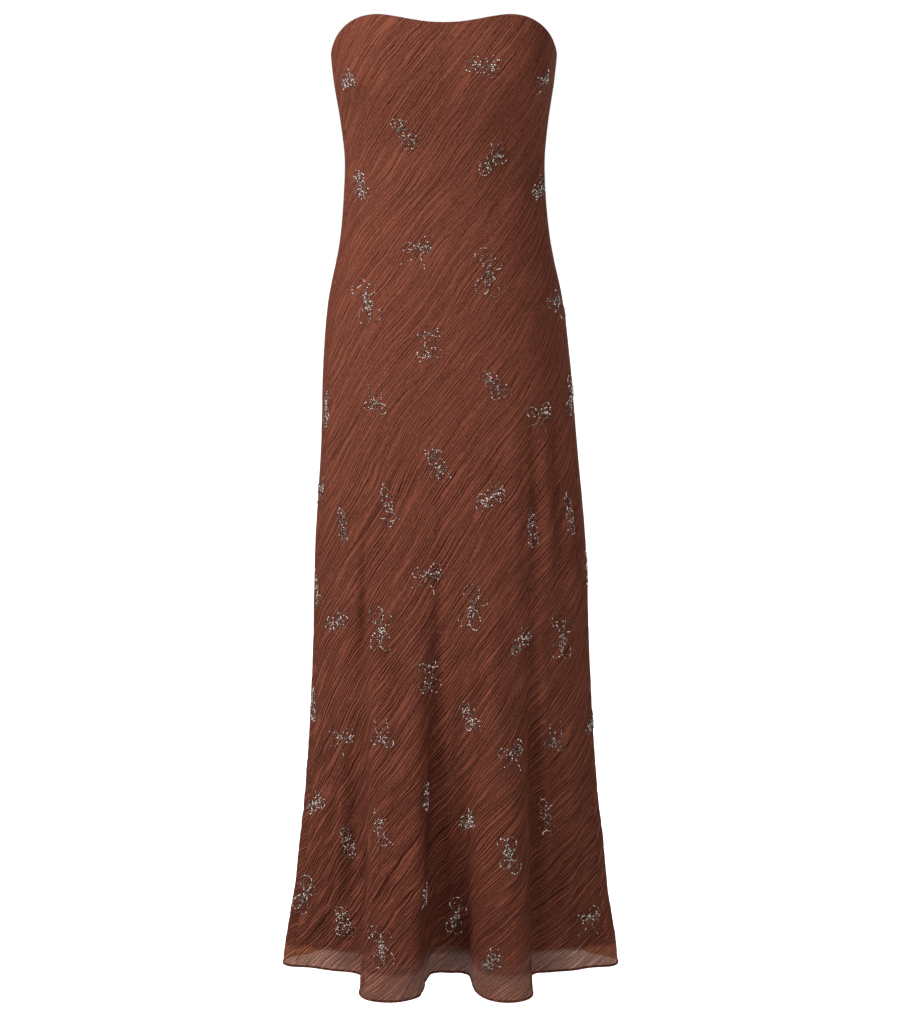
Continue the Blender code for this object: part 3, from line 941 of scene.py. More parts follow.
def georgette_material():
    material, tree, shader = new_material("georgette", Specular_IOR_Level=0.08)
    hair = dict(Pitch=0.0024, Length=0.10, Stray=11.0, Rarity=0.22, Sharp=4.0)
    line = dict(Pitch=0.0048, Length=0.17, Stray=14.0, Rarity=0.36, Sharp=8.0)
    hair, line = (add_group(tree, CRINKLE_GROUP, **values) for values in (hair, line))
    threads = add_group(tree, WEAVE_GROUP, Thread=0.0014, Run=0.007)["Threads"]
    uv = cloth_place(tree)
    up = add_node(tree, "SeparateXYZ", ((0, uv),)).outputs["Y"]
    low_down = remap(tree, up, BODICE_ENDS, SKIRT_FULL, 0.0, 1.0)

    def growing(pair):
        return remap(tree, low_down, 0.0, 1.0, *pair)

    # Crinkle lines, grooves and troughs are darkened here: the doubled cloth's own colour, and painted shade.
    dark = weighted(
        tree,
        (hair["Line"], growing(HAIR_SHADE_AND_TONE)),
        (line["Line"], growing(LINE_SHADE_AND_TONE)),
        (measured(tree, "groove"), GROOVE_SHADE_AND_TONE),
    )
    patch = remap(tree, noise(tree, uv, 16.0, 2.0, "2D"), 0.3, 0.7, 0.88, 1.12)
    dark = maths(tree, "MULTIPLY", dark, patch)
    dark = maths(tree, "ADD", dark, remap(tree, threads, 0.3, 0.7, *THREAD_TONE), clamp=True)
    open_weave = measured(tree, "open_weave")
    # Where no lining backs the cloth its colour turns paler: painted light that comes through.
    glow = maths(tree, "MULTIPLY", open_weave, remap(tree, dark, 0.0, 0.9, 1.0, 0.3))
    hole = maths(tree, "MULTIPLY", open_weave, remap(tree, dark, 0.0, 0.8, *HOLE))
    colour = mix_colours(tree, dark, CHESTNUT, CHESTNUT_DEEP)
    rise = weighted(
        tree,
        (line["Height"], growing(LINE_RISE)),
        (hair["Height"], growing(HAIR_RISE)),
        (threads, THREAD_RISE),
    )
    feed_shader(
        shader,
        Base_Color=mix_colours(tree, glow, colour, CHESTNUT_LIT_THROUGH),
        Alpha=maths(tree, "SUBTRACT", 0.995, hole),
        Roughness=remap(tree, threads, 0.3, 0.7, 0.8, 0.95),
        Normal=raised(tree, rise, 1.0, 0.0014),
    )
    return material


georgette = georgette_material()
print("georgette has", len(georgette.node_tree.nodes), "nodes")

# %% The three georgette panels
georgette_sheets = {panel.name: georgette_sheet(panel, georgette) for panel in PANELS}
for name, piece in georgette_sheets.items():
    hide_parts(name + "_panel")

# %% [markdown]
# ## The lining
#
# The slip inside is plain satin: opaque, a little glossy and without crinkle, so its mesh can be
# coarser. Its panels are made as the georgette's are, and give way only where a fold presses on
# them. Its material uses the same weave group with finer and longer threads, and a slow noise
# for soft dents.

# %% The lining's satin and panels
SATIN_DARK = (0.085, 0.026, 0.016, 1.0)
SATIN_LIGHT = (0.15, 0.048, 0.030, 1.0)


def lining_material():
    material, tree, shader = new_material("lining_satin", Specular_IOR_Level=0.35)
    threads = add_group(tree, WEAVE_GROUP, Thread=0.0005, Run=0.009)["Threads"]
    soft = noise(tree, cloth_place(tree), 14.0, 2.0, "2D")
    shade = weighted(tree, (soft, 0.6), (threads, 0.4))
    rise = weighted(tree, (soft, 1.0), (threads, 0.08))
    feed_shader(
        shader,
        Base_Color=mix_colours(tree, shade, SATIN_DARK, SATIN_LIGHT),
        Roughness=remap(tree, threads, 0.3, 0.7, 0.42, 0.6),
        Normal=raised(tree, rise, 0.4, 0.002),
    )
    return material


satin = lining_material()
slips = {panel.name: lining_sheet(panel, satin) for panel in PANELS}
for name, piece in slips.items():
    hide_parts("lining_" + name)

# %% [markdown]
# ## Edges, seams and tapes
#
# Georgette frays, so its hem is rolled: the edge is turned twice into a thin cord, which looks
# darker because it is four layers thick. At the top the two layers are sewn together and
# turned, which leaves a clean lip between them. Inside, each seam keeps a narrow allowance and
# the zip lies between two tapes. Apart from the lip, all of these are one kind of form, an oval
# swept along a line, so one function makes them.

# %% Swept strips
ROUND_STEPS = 8


def swept(name, centres, thick_ways, tall_ways, material, numbers=()):
    """An oval strip along centres. The two ways are half its thickness and half its height."""
    turn = np.linspace(0, 2 * np.pi, ROUND_STEPS, endpoint=False)
    c, s = np.cos(turn)[None, :, None], np.sin(turn)[None, :, None]
    points = (centres[:, None] + c * thick_ways[:, None] + s * tall_ways[:, None]).reshape(-1, 3)
    index = np.arange(len(points)).reshape(-1, ROUND_STEPS)
    following = np.roll(index, -1, axis=1)
    quads = np.stack([index[:-1], following[:-1], following[1:], index[1:]], axis=-1).reshape(-1, 4)
    ends = [index[0, ::-1].tolist(), index[-1].tolist()]
    numbers = [(title, np.full(len(points), value)) for title, value in numbers]
    mesh = new_mesh(name, points, quads.tolist() + ends, numbers)
    bm = bmesh.new()
    bm.from_mesh(mesh)
    bmesh.ops.recalc_face_normals(bm, faces=bm.faces)
    bm.to_mesh(mesh)
    bm.free()
    set_cloth_uv(mesh, np.stack([points[:, 0] + points[:, 1], points[:, 2]], axis=-1))
    return new_piece(name, mesh, material)


# %% Rolled and turned hems
Hem = namedtuple("Hem", "name layer half_tall half_thick material slot numbers")
ROLLED_NUMBERS = (("groove", 3.2), ("open_weave", 0.0))
HEMS = (
    Hem("rolled_hem_", GEORGETTE, 1.7, 0.85, georgette, "georgette", ROLLED_NUMBERS),
    Hem("slip_hem_", LINING, 4.0, 0.75, satin, "lining_satin", ()),
)
BELOW_EDGE = 0.3  # millimetres that a hem reaches below its sheet


def hem_strip(panel, hem):
    angle = inside_panel(panel, panel_angles(panel, panel.hem_columns))
    height = hem_height(angle, hem.layer) + hem.half_tall - BELOW_EDGE
    bump = relief(angle, height)[0] if hem.layer is GEORGETTE else np.zeros_like(angle)
    centres, normal = stood_off(angle, height, hem.layer, bump)
    tall = np.broadcast_to([0.0, 0.0, hem.half_tall * MM], centres.shape)
    thick = normal * hem.half_thick * MM
    return swept(hem.name + panel.name, centres, thick, tall, hem.material, hem.numbers)


hems = {panel.name: [hem_strip(panel, hem) for hem in HEMS] for panel in PANELS}
print("hems", [strip.name for pair in hems.values() for strip in pair])

# %% The lip along the top
LIP_RISE = 0.9 * MM
LIP_STEPS = 6
LIP_COLUMNS = 160
LIP_GROOVE = 2.0


def top_lip(panel):
    """A narrow bridge from the lining's top edge to the georgette's, raised in the middle."""
    angle = inside_panel(panel, panel_angles(panel, LIP_COLUMNS))
    top = top_height(angle)
    outer, inner = surface(angle, top, GEORGETTE), surface(angle, top, LINING)
    share = np.linspace(0, 1, LIP_STEPS + 1)[:, None, None]
    points = inner + (outer - inner) * share
    points[..., 2] += LIP_RISE * np.sin(np.pi * share[..., 0])
    flat = np.zeros(points.shape[:2])
    uv = np.stack([flat + across_cloth(angle, top), points[..., 2]], axis=-1)
    numbers = (("groove", flat + LIP_GROOVE), ("open_weave", flat))
    name = "top_lip_" + panel.name
    return new_piece(name, grid_mesh(name, points, uv, numbers), georgette)


lips = {panel.name: top_lip(panel) for panel in PANELS}
print("lips", [lip.name for lip in lips.values()])

# %% Seam allowances and zip tapes, inside
Strip = namedtuple("Strip", "inset half_wide half_thick")
ALLOWANCE = Strip(1.75 * MM, 9 * MM, 0.4 * MM)
TAPE = Strip(1.7 * MM, 6.4 * MM, 0.3 * MM)
STRIP_STEPS = 120
SEAM_TOP, SEAM_END = -6, HEM_HEIGHT + 34
BACK_SEAM_TURN = 179.9  # the back seam's allowance belongs to the right back panel
ZIP_TOP, ZIP_END = -34.0, -405.0
TAPE_OFFSET = 7.2 * MM


def inside_strip(name, angle, offset, top, bottom, strip):
    """A flat strip down the inside, a little to one side of the line at an angle."""
    height = np.linspace(top, bottom, STRIP_STEPS)
    line = np.full_like(height, angle)
    beside = angle_at(length_round(line, height) + offset, height) if offset else line
    away = -(strip.inset + pushed_in(beside, height))
    centres, normal = stood_off(beside, height, LINING, away)
    wide = with_length(np.cross(normal, np.gradient(centres, axis=0)), strip.half_wide)
    return swept(name, centres, wide, normal * strip.half_thick, satin)


def opened_seam(side, angle, top=SEAM_TOP):
    return inside_strip("seam_allowance_" + side, angle, 0, top, SEAM_END, ALLOWANCE)


def zip_tape(side, offset):
    return inside_strip("zip_tape_" + side, BACK, offset, ZIP_TOP, ZIP_END, TAPE)


seam_right, seam_left = opened_seam("right", -SIDE_SEAM), opened_seam("left", SIDE_SEAM)
seam_back = opened_seam("back", BACK_SEAM_TURN, ZIP_END - 12)
tape_left, tape_right = zip_tape("left", -TAPE_OFFSET), zip_tape("right", TAPE_OFFSET)
print("inside are", [piece.name for piece in (seam_right, seam_left, seam_back, tape_left, tape_right)])

# %% [markdown]
# ## The zip
#
# A concealed zip hides its teeth behind the seam: a nylon coil is sewn to the inner edge of
# each tape, and only the slider and its pull show outside. One tooth is modelled as by hand, a
# short rod with rounded ends, and copied down the tape, a little to the left and a little to
# the right by turns, as the two coils mesh. A metal stop crimps the coil's lower end. The
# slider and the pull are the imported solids. They get the worn enamel that such small metal
# parts have: it is rubbed through in specks, most of all near the pull's tip.

# %% The zip's metal and nylon
ENAMEL = (0.115, 0.034, 0.020, 1.0)
BARE_METAL = (0.42, 0.36, 0.31, 1.0)
NYLON_DARK = (0.10, 0.030, 0.018, 1.0)
NYLON_LIGHT = (0.16, 0.05, 0.03, 1.0)
SPECK_SCALE, CLOUD_SCALE, NYLON_SCALE = 900.0, 140.0, 260.0
PULL_MIDDLE, PULL_TIP = -0.052, -0.062  # heights between which the pull is rubbed more and more


def worn_metal():
    material, tree, shader = new_material("zip_metal", Coat_Weight=0.25)
    place = room_place(tree)
    specks, clouds = noise(tree, place, SPECK_SCALE, 3.0), noise(tree, place, CLOUD_SCALE, 1.0)
    up = add_node(tree, "SeparateXYZ", ((0, place),)).outputs["Z"]
    tip = remap(tree, up, PULL_MIDDLE, PULL_TIP, 0.0, 0.12)
    rubbed = maths(tree, "ADD", weighted(tree, (specks, 0.7), (clouds, 0.3)), tip)
    worn = remap(tree, rubbed, 0.60, 0.70, 0.0, 1.0, smooth=True)
    feed_shader(
        shader,
        Base_Color=mix_colours(tree, worn, ENAMEL, BARE_METAL),
        Metallic=remap(tree, worn, 0.0, 1.0, 0.15, 0.95),
        Roughness=remap(tree, specks, 0.3, 0.7, 0.28, 0.46),
        Normal=raised(tree, specks, 0.15, 0.0002),
    )
    return material


def dyed_nylon():
    material, tree, shader = new_material("dyed_nylon", Specular_IOR_Level=0.5)
    cloud = noise(tree, room_place(tree), NYLON_SCALE, 2.0)
    feed_shader(
        shader,
        Base_Color=mix_colours(tree, cloud, NYLON_DARK, NYLON_LIGHT),
        Roughness=remap(tree, cloud, 0.3, 0.7, 0.35, 0.5),
    )
    return material


zip_metal, nylon = worn_metal(), dyed_nylon()
for node in ("zip_slider", "zip_pull"):
    for material_slot in bpy.data.objects[node].material_slots:
        material_slot.material = zip_metal
print("the zip has", zip_metal.name, "and", nylon.name)

# %% Modelling a small part once


def taken_apart(piece):
    """The points and faces of a modelled piece, which is then removed."""
    points = np.array([vertex.co for vertex in piece.data.vertices])
    faces = np.array([face.vertices for face in piece.data.polygons])
    bpy.data.objects.remove(piece, do_unlink=True)
    return points, faces


def copies(points, faces):
    """Faces of a shape's copies, whose points are given copy by copy."""
    first = points.shape[1] * np.arange(len(points))[:, None, None]
    return (faces[None] + first).reshape(-1, 3).tolist()


def rounded_rod(radius, length, bevel):
    """Points and faces of a rod along X whose two ends are rounded over."""
    bpy.ops.object.select_all(action="DESELECT")
    bpy.ops.mesh.primitive_cylinder_add(vertices=8, radius=radius, depth=length, rotation=(0, np.pi / 2, 0))
    rod = bpy.context.object
    bpy.ops.object.transform_apply(location=True, rotation=True, scale=True)
    bpy.ops.object.mode_set(mode="EDIT")
    bpy.ops.mesh.select_all(action="DESELECT")
    bm = bmesh.from_edit_mesh(rod.data)
    for edge in bm.edges:
        first, second = (vertex.co.x for vertex in edge.verts)
        edge.select_set(first * second > 0 and abs(first - second) < radius / 10)
    bmesh.update_edit_mesh(rod.data)
    bpy.ops.mesh.bevel(offset=bevel, segments=2, affect="EDGES")
    bpy.ops.mesh.select_all(action="SELECT")
    bpy.ops.mesh.quads_convert_to_tris()
    bpy.ops.object.mode_set(mode="OBJECT")
    return taken_apart(rod)


# %% The teeth
TOOTH_PITCH = 1.5
TOOTH_RADIUS, TOOTH_LONG = 0.5 * MM, 3.4 * MM
TOOTH_STAGGER = 0.45 * MM
TOOTH_INSET = 2.9 * MM
STOP_RADIUS, STOP_LONG, STOP_BEVEL = 1.15 * MM, 5.4 * MM, 0.4 * MM
TEETH_TOP, TEETH_END, STOP_HEIGHT = ZIP_TOP - 4, ZIP_END + 6, ZIP_END + 4


def down_the_seam(name, rod, heights, sideways, material):
    """Copies of a rod behind the back seam, each moved a little to one side."""
    line = np.full_like(heights, BACK)
    places, _ = stood_off(line, heights, LINING, -TOOTH_INSET)
    places[:, 0] += sideways
    points, faces = rod
    points = points[None] + places[:, None]
    return new_piece(name, new_mesh(name, points, copies(points, faces)), material)


tooth_heights = np.arange(TEETH_TOP, TEETH_END, -TOOTH_PITCH)
stagger = TOOTH_STAGGER * np.where(np.arange(len(tooth_heights)) % 2, 1, -1)
tooth = rounded_rod(TOOTH_RADIUS, TOOTH_LONG, TOOTH_RADIUS * 0.5)
teeth = down_the_seam("zip_coil", tooth, tooth_heights, stagger, nylon)
crimp = rounded_rod(STOP_RADIUS, STOP_LONG, STOP_BEVEL)
stop = down_the_seam("zip_stop", crimp, np.array([STOP_HEIGHT]), 0.0, zip_metal)
print(len(tooth_heights), "teeth,", len(teeth.data.polygons), "triangles")

# %% [markdown]
# ## The beaded bows
#
# The georgette is scattered with little drawings of ribbon bows, each a single row of glass
# seed beads about two millimetres apart. A bow is only a few loops and tails, so each kind is
# written here as strokes: teardrop loops, waving tails and small rings, in millimetres on the
# flat cloth. Beads are then strung along the strokes at an even pitch.

# %% Strokes of a motif
BEAD_PITCH = 2.3
TAIL_WAVES = 1.6
Strung = namedtuple("Strung", "places directions")


def turned(x, y, degrees):
    """Pairs turned about the origin by some degrees."""
    c, s = np.cos(np.radians(degrees)), np.sin(np.radians(degrees))
    return np.stack([x * c - y * s, x * s + y * c], axis=-1)


def loop(x, y, length, width, turn):
    """A ribbon loop: a teardrop that starts and ends at x, y and points along turn degrees."""
    t = np.linspace(0, 1, 60)
    reach = length * (1 - np.cos(2 * np.pi * t)) / 2
    side = width * 0.65 * np.sin(2 * np.pi * t) * np.sin(np.pi * t)
    return turned(reach, side, turn) + (x, y)


def tail(x, y, length, sway, turn):
    """A ribbon's free end, waving once on its way along turn degrees."""
    t = np.linspace(0, 1, 40)
    return turned(length * t, sway * np.sin(TAIL_WAVES * np.pi * t), turn) + (x, y)


def ring(x, y, wide, high):
    turn = np.linspace(0, 2 * np.pi, 40)
    return np.stack([x + wide * np.cos(turn), y + high * np.sin(turn)], axis=-1)


MOTIFS = {
    "bow": [
        loop(-1, 2, 18, 13, 176), loop(-1, 2, 11, 6, 172), loop(1, 2, 19, 13, 40), loop(1, 2, 14, 6, 30),
        loop(2, 1, 15, 8, 2), ring(0, 2, 2.6, 2.6), tail(-1, 0, 29, 4, -128), tail(6, 1, 12, 3, -18),
        tail(11, -2, 22, -5, -106), ring(13, 0, 3, 2.4),
    ],
    "tails_up": [
        loop(0, -8, 18, 11, -158), loop(0, -8, 12, 5, -152), loop(0, -8, 20, 13, -38),
        loop(0, -8, 13, 6, -44), ring(0, -8, 2.4, 2.4), ring(-1, -14, 4, 3), tail(-1, -7, 28, 3, 118),
        tail(1, -7, 29, -5, 66), tail(0, -6, 14, 2, 92),
    ],
    "double": [
        loop(1, 3, 27, 22, 108), loop(1, 5, 16, 11, 110), loop(3, 4, 17, 14, 28), ring(1, 2, 2.6, 2.6),
        loop(0, 0, 32, 17, -116), loop(1, 0, 33, 15, -80), loop(0, 0, 22, 7, -98), loop(0, 1, 16, 6, -122),
        ring(3, -9, 3, 4), tail(1, 0, 14, 2, -46),
    ],
    "cluster": [
        ring(-12, 13, 7.5, 6.5), ring(-11, 12, 3.5, 4.5), ring(-2, 11, 5, 6.5), ring(-7, 2, 5.5, 5),
        ring(2, 3, 6, 4.5), ring(-2, -6, 5, 6.5), loop(3, -2, 17, 11, -112), ring(7, -3, 5, 4),
        ring(6, -12, 4, 5.5), tail(10, -7, 14, 2, -22), tail(9, -9, 10, -1, -58), tail(10, -4, 12, 1, 34),
        tail(-6, 6, 9, 1, 200), ring(-7, 9, 3, 3.5), ring(4, -7, 3, 2.5),
    ],
    "chain": [
        ring(-5, 20, 5, 5.5), ring(-1, 9, 7, 5), ring(2, -1, 5, 6), ring(5, -12, 7, 5.5), ring(2, -21, 6, 4),
        tail(-6, 24, 9, 1, 105), tail(11, -13, 10, 1, -18), tail(3, 12, 11, 2, 40), tail(-3, 2, 9, 1, 190),
        ring(0, 14, 3, 3), ring(4, -5, 3, 3.5), tail(-1, -12, 10, 1, 205), ring(-1, 4, 2.6, 2.6),
    ],
    "stacked": [
        loop(0, 17, 15, 10, 184), loop(0, 17, 17, 10, 12), loop(0, 17, 10, 5, 178), loop(0, 17, 11, 5, 18),
        tail(0, 17, 12, 1, 88), ring(0, 17, 2.2, 2.2), tail(-8, 17, 27, 1.5, -86), tail(8, 17, 26, -1.5, -94),
        ring(0, 4, 6, 5), loop(0, -8, 16, 11, 176), loop(0, -8, 17, 10, 4), loop(0, -8, 9, 5, 168),
        ring(0, -8, 2.2, 2.2), tail(-1, -10, 17, 2, -142), tail(1, -10, 18, -2, -48),
    ],
    "clump": [
        ring(0, 13, 6, 9), ring(1, -1, 7, 6), ring(0, -14, 7.5, 9), loop(0, 0, 24, 8, 93),
        loop(0, 0, 24, 8, -88), ring(0, 12, 2.6, 5), ring(0, -14, 3.4, 4.5), tail(0, 22, 8, 1, 84),
        ring(-4, 5, 3, 3), ring(5, -7, 3, 3),
    ],
}


def string_beads(strokes):
    """Places and directions of the beads along a motif's strokes."""
    places, directions = [], []
    for stroke in strokes:
        length = run_along(stroke)
        at = (np.arange(max(int(length[-1] / BEAD_PITCH), 2)) + 0.5) * BEAD_PITCH
        behind, place, ahead = (
            np.stack([np.interp(at + step, length, column) for column in stroke.T], axis=-1)
            for step in (-0.5, 0.0, 0.5)
        )
        places.append(place)
        directions.append(ahead - behind)
    return Strung(np.concatenate(places), np.concatenate(directions))


STRUNG = {kind: string_beads(strokes) for kind, strokes in MOTIFS.items()}
print({kind: len(strung.places) for kind, strung in STRUNG.items()}, "beads a motif")

# %% [markdown]
# ## Where the motifs lie
#
# On the front, which the picture shows, each motif's middle is noted as a place in the
# picture. The nearest point of cloth that faces the camera there is
# looked up from the surface. The sides and back aren't seen, so they follow the repeat of the
# front: half-drop rows, 161 mm across by 218 mm down.

# %% From the picture to the cloth
FRONT_MOTIFS = (
    # Column and row in the picture, the kind of motif, its turn in degrees and its size.
    (348, 80, "cluster", 70, 0.8), (485, 65, "cluster", 48, 1.0), (543, 83, "bow", 12, 0.9),
    (407, 135, "cluster", 0, 1.0), (493, 160, "cluster", 96, 1.0), (361, 185, "cluster", -15, 0.9),
    (540, 188, "cluster", 80, 0.9), (418, 250, "bow", 0, 1.0), (488, 272, "double", 0, 1.0),
    (366, 300, "double", 28, 1.0), (555, 303, "bow", 8, 0.95), (430, 347, "stacked", 0, 1.0),
    (495, 385, "cluster", 4, 1.0), (375, 397, "tails_up", 0, 0.95), (327, 410, "clump", -8, 1.0),
    (571, 395, "double", -14, 0.9), (540, 415, "bow", -6, 1.0), (438, 465, "cluster", -14, 1.0),
    (491, 497, "cluster", 88, 1.0), (388, 508, "chain", 0, 1.0), (343, 525, "clump", 12, 0.95),
    (533, 530, "clump", 0, 1.0), (569, 515, "clump", 6, 1.1), (321, 490, "bow", 10, 0.9),
    (427, 575, "bow", -4, 1.0), (473, 605, "double", -6, 0.95), (381, 628, "double", 10, 0.95),
    (562, 635, "double", 2, 1.0), (337, 620, "cluster", 82, 0.95), (522, 640, "cluster", 90, 0.9),
    (317, 590, "chain", 8, 0.9), (587, 570, "chain", -6, 0.9), (430, 680, "stacked", 2, 1.0),
    (471, 717, "cluster", -10, 0.95), (341, 738, "bow", -10, 1.0), (513, 755, "bow", 4, 1.0),
    (382, 731, "tails_up", 6, 0.9), (555, 735, "tails_up", -6, 0.95), (314, 705, "clump", 5, 0.9),
    (592, 722, "cluster", 74, 0.9), (427, 797, "cluster", -30, 0.9), (470, 820, "cluster", 84, 0.9),
    (316, 803, "cluster", 92, 0.85), (348, 843, "clump", 14, 0.95), (510, 857, "double", 196, 0.8),
    (380, 833, "chain", 6, 1.0), (546, 818, "chain", -2, 1.0), (425, 895, "bow", -4, 0.9),
    (588, 918, "bow", 4, 1.0), (457, 913, "double", -8, 0.85), (305, 893, "double", -12, 0.85),
    (381, 945, "double", 24, 0.9), (345, 922, "cluster", -20, 0.95), (491, 960, "cluster", 90, 0.85),
)
FOCAL_PIXELS = LENS / SENSOR * max(PHOTO_SIZE)
SAME_SPOT = 3.0  # pixels
SAME_SHEET = 0.02  # metres of distance from the camera
FAR_TOO_FAR = 1000.0


def in_picture(points):
    """Column, row and distance in the 900 x 1018 picture of points in metres."""
    ahead = (CAMERA_TARGET - CAMERA_PLACE).normalized()
    right = ahead.cross(Vector((0, 0, 1))).normalized()
    offset = points - np.array(CAMERA_PLACE)
    far = offset @ np.array(ahead)
    x = PHOTO_SIZE[0] / 2 + FOCAL_PIXELS * (offset @ np.array(right)) / far
    y = PHOTO_SIZE[1] / 2 - FOCAL_PIXELS * (offset @ np.array(right.cross(ahead))) / far
    return x, y, far


# Cloth that the camera can see, every half degree and 3 mm.
LOOK_ANGLES, LOOK_HEIGHTS = np.meshgrid(np.arange(-112, 112.1, 0.5), np.arange(-1245, 40, 3.0))
LOOK_X, LOOK_Y, LOOK_FAR = in_picture(surface(LOOK_ANGLES, LOOK_HEIGHTS, GEORGETTE))


def seen_at(x, y):
    """Angle and height of the cloth that shows at a place in the picture."""
    miss = np.hypot(LOOK_X - x, LOOK_Y - y)
    nearest = LOOK_FAR[miss < miss.min() + SAME_SPOT].min()
    best = np.argmin(miss + FAR_TOO_FAR * (LOOK_FAR > nearest + SAME_SHEET))
    return float(LOOK_ANGLES.flat[best]), float(LOOK_HEIGHTS.flat[best])


# %% The repeat on the sides and back
REPEAT_ACROSS, REPEAT_DOWN = 161.0, 218.0
REPEAT_SIZE = 0.95
REPEAT_START = (40, -300)  # millimetres from the centre back, and height
CELL = (
    # The kind of motif, how far it is across and down from the repeat's corner, and its turn.
    ("stacked", 0, 0, 0), ("double", -84, -62, 12), ("cluster", 86, 50, 4), ("tails_up", -73, 66, -4),
    ("bow", -16, -128, 3), ("double", 77, -99, -6), ("cluster", 10, 156, 84), ("chain", -55, 212, 5),
)
BEHIND = 93  # degrees, past which the front's own motifs end
CLEAR_OF_HEM, CLEAR_OF_TOP, HIGHEST_MOTIF = 12, 22, -12
APART = 0.058  # metres between the middles of two motifs
Motif = namedtuple("Motif", "angle height kind turn size")


def cloth_point(angle, height):
    return surface(np.array([angle]), np.array([height]), GEORGETTE)[0]


def round_from_back(across, height):
    """The angle so many metres from the centre back, or None where that is past the front."""
    lengths = length_round(TABLE_ANGLES, np.full_like(TABLE_ANGLES, height))
    if abs(across) > lengths[-1] / 2:
        return None
    return float(np.interp(across if across > 0 else lengths[-1] + across, lengths, TABLE_ANGLES))


def repeat_motifs(taken):
    """The repeat's motifs over the back panels, kept clear of each other and of the front's."""
    motifs = []
    cells = [(column, row) for column in range(-5, 6) for row in range(-7, 8) if (column + row) % 2 == 0]
    for column, row in cells:
        for kind, across, down, turn in CELL:
            height = float(REPEAT_START[1] - row * REPEAT_DOWN - down)
            if not HEM_HEIGHT + CLEAR_OF_HEM <= height <= HIGHEST_MOTIF:
                continue
            angle = round_from_back((column * REPEAT_ACROSS + across + REPEAT_START[0]) * MM, height)
            if angle is None or abs(angle) < BEHIND or height > top_height(angle) - CLEAR_OF_TOP:
                continue
            here = cloth_point(angle, height)
            if min(np.linalg.norm(here - other) for other in taken) > APART:
                motifs.append(Motif(angle, height, kind, turn, REPEAT_SIZE))
                taken.append(here)
    return motifs


motifs = [Motif(*seen_at(x, y), kind, turn, size) for x, y, kind, turn, size in FRONT_MOTIFS]
motifs += repeat_motifs([cloth_point(motif.angle, motif.height) for motif in motifs])
print(len(motifs), "motifs,", len(FRONT_MOTIFS), "of them placed from the picture")

# %% [markdown]
# ## Stringing the beads
#
# One bead is modelled: a small rounded barrel. It is then copied to every place, lying along
# its thread and just on the cloth, and the copies are joined panel by panel, because sixteen
# thousand single objects would be slow. Real seed beads in one string differ: some are clear
# and catch the lamp, others are smoky. Each copy carries its own tone for that, and the
# clearest also glow a little: a painted glint.

# %% The bead
BEAD_RADIUS = 0.73 * MM
BEAD_LONG = 1.05  # times as long as it is thick
BEAD_LIFT = 0.7 * MM
AHEAD = 0.4  # the share of a bead's direction at which its thread is looked up
CLEAR_OF_EDGE, CLEAR_OF_ROLL = 4, 6
CLEAR_OF_ZIP, ZIP_BEADS_START = 4.5, -420  # degrees, and the height below which beads go on


def bead_template():
    """Points and faces of one bead, lying along X."""
    bpy.ops.object.select_all(action="DESELECT")
    bpy.ops.mesh.primitive_ico_sphere_add(subdivisions=1, radius=BEAD_RADIUS)
    bpy.ops.object.mode_set(mode="EDIT")
    bpy.ops.transform.resize(value=(BEAD_LONG, 1, 1))
    bpy.ops.object.mode_set(mode="OBJECT")
    return taken_apart(bpy.context.object)


def motif_on_cloth(motif):
    """Angles and heights of a motif's beads, and of points just ahead of them on the thread."""
    places, directions = STRUNG[motif.kind]
    found = []
    for flat in (places, places + directions * AHEAD):
        across, up = turned(*flat.T, motif.turn).T * motif.size
        heights = motif.height + up
        middle = length_round(np.full_like(heights, motif.angle), heights)
        found.append((angle_at(middle + across * MM, heights), heights))
    return np.array(found)


def on_cloth(angle, height):
    """Places of beads that lie on the cloth, and the cloth's normals there."""
    return stood_off(angle, height, GEORGETTE, relief(angle, height)[0] + BEAD_LIFT)


def all_beads():
    """Centres, thread directions, outward normals and angles of every bead."""
    here, ahead = np.concatenate([motif_on_cloth(motif) for motif in motifs], axis=-1)
    angle, height = here
    at_top = height > top_height(angle) - CLEAR_OF_EDGE
    at_hem = height < hem_height(angle, GEORGETTE) + CLEAR_OF_ROLL
    at_zip = (BACK - np.abs(angle) < CLEAR_OF_ZIP) & (height > ZIP_BEADS_START)
    keep = ~(at_top | at_hem | at_zip)
    centre, normal = on_cloth(*here[:, keep])
    further, _ = on_cloth(*ahead[:, keep])
    return centre, with_length(further - centre, 1.0), normal, angle[keep]


BEAD_POINTS, BEAD_FACES = bead_template()
print("a bead has", len(BEAD_FACES), "triangles")

# %% The bead material
SMOKY = (0.09, 0.045, 0.030, 1.0)
BEAD_COLOURS = (
    # From the smokiest bead to the clearest: the tone, and the colour at it.
    (0.35, (0.17, 0.10, 0.072, 1.0)),
    (0.64, (0.34, 0.24, 0.195, 1.0)),
    (0.84, (0.75, 0.65, 0.60, 1.0)),
)
CLEAR = (0.98, 0.92, 0.88, 1.0)
SPARK = (1.0, 0.93, 0.88, 1.0)
BLACK = (0.0, 0.0, 0.0, 1.0)


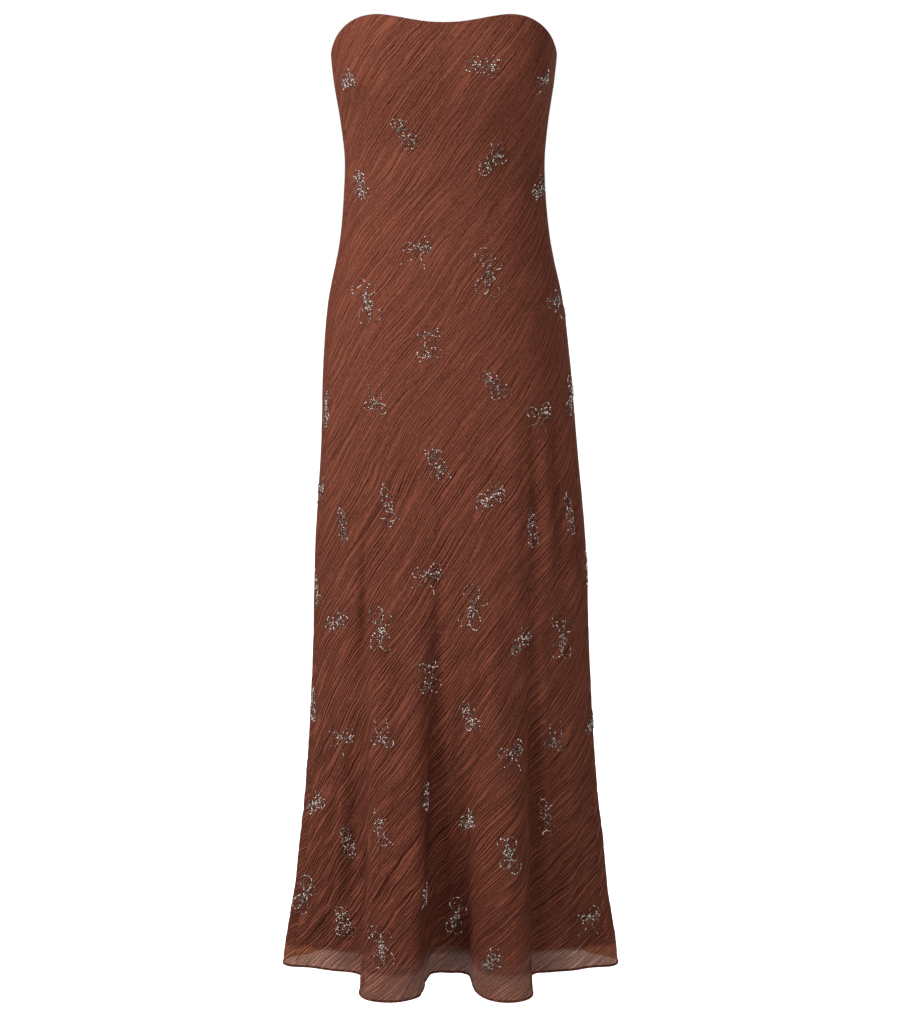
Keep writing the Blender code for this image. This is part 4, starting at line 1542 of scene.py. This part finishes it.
def bead_material():
    shine = dict(Roughness=0.3, Coat_Roughness=0.05, Coat_Weight=0.35, Emission_Strength=1.0)
    material, tree, shader = new_material("seed_beads", **shine)
    tone = measured(tree, "tone")
    ramp = add_node(tree, "ValToRGB", ((0, tone),))
    stops = ramp.color_ramp.elements
    stops[0].color, stops[1].color = SMOKY, CLEAR
    for place, colour in BEAD_COLOURS:
        stops.new(place).color = colour
    # The clearest beads glow a little through Emission: a painted glint.
    spark = remap(tree, tone, 0.82, 0.96, 0.0, 0.45)
    feed_shader(
        shader,
        Base_Color=ramp.outputs["Color"],
        Emission_Color=mix_colours(tree, spark, BLACK, SPARK),
    )
    return material


bead_glass = bead_material()

# %% The joined beads
BEAD_TONES = np.random.default_rng(5)
HIP_LINE = -0.6  # the height at which the front's beads are parted into two pieces


def bead_piece(name, centre, thread, normal):
    side = with_length(np.cross(normal, thread), 1.0)
    axes = np.stack([thread, side, np.cross(thread, side)], axis=1)
    points = centre[:, None] + np.einsum("vk,nkc->nvc", BEAD_POINTS, axes)
    tone = np.repeat(BEAD_TONES.uniform(0, 1, len(centre)), len(BEAD_POINTS))
    mesh = new_mesh(name, points, copies(points, BEAD_FACES), (("tone", tone),))
    print(name, len(centre), "beads,", len(mesh.polygons), "triangles")
    return new_piece(name, mesh, bead_glass)


*laid, bead_angle = all_beads()
above_hips = laid[0][:, 2] > HIP_LINE
front_half = np.abs(bead_angle) <= SIDE_SEAM
beads = {
    name: bead_piece("beads_" + name, *(values[chosen] for values in laid))
    for name, chosen in (
        ("front_top", front_half & above_hips),
        ("front_skirt", front_half & ~above_hips),
        ("back_left", ~front_half & (bead_angle > 0)),
        ("back_right", ~front_half & (bead_angle < 0)),
    )
}

# %% [markdown]
# ## The flat cut of a sheet
#
# A sheet of cloth can bend and drape but hardly stretch. The georgette's flat cut is a fifth
# larger than its mesh, because its fine crinkles take the cloth up; the satin's is as large as
# its mesh. Here a cut is only given its fields, its flat size and area, and the sheets are counted.

# %% Sheets
Cut = namedtuple("Cut", "flat area")


print(len(georgette_sheets) + len(slips), "sheets")
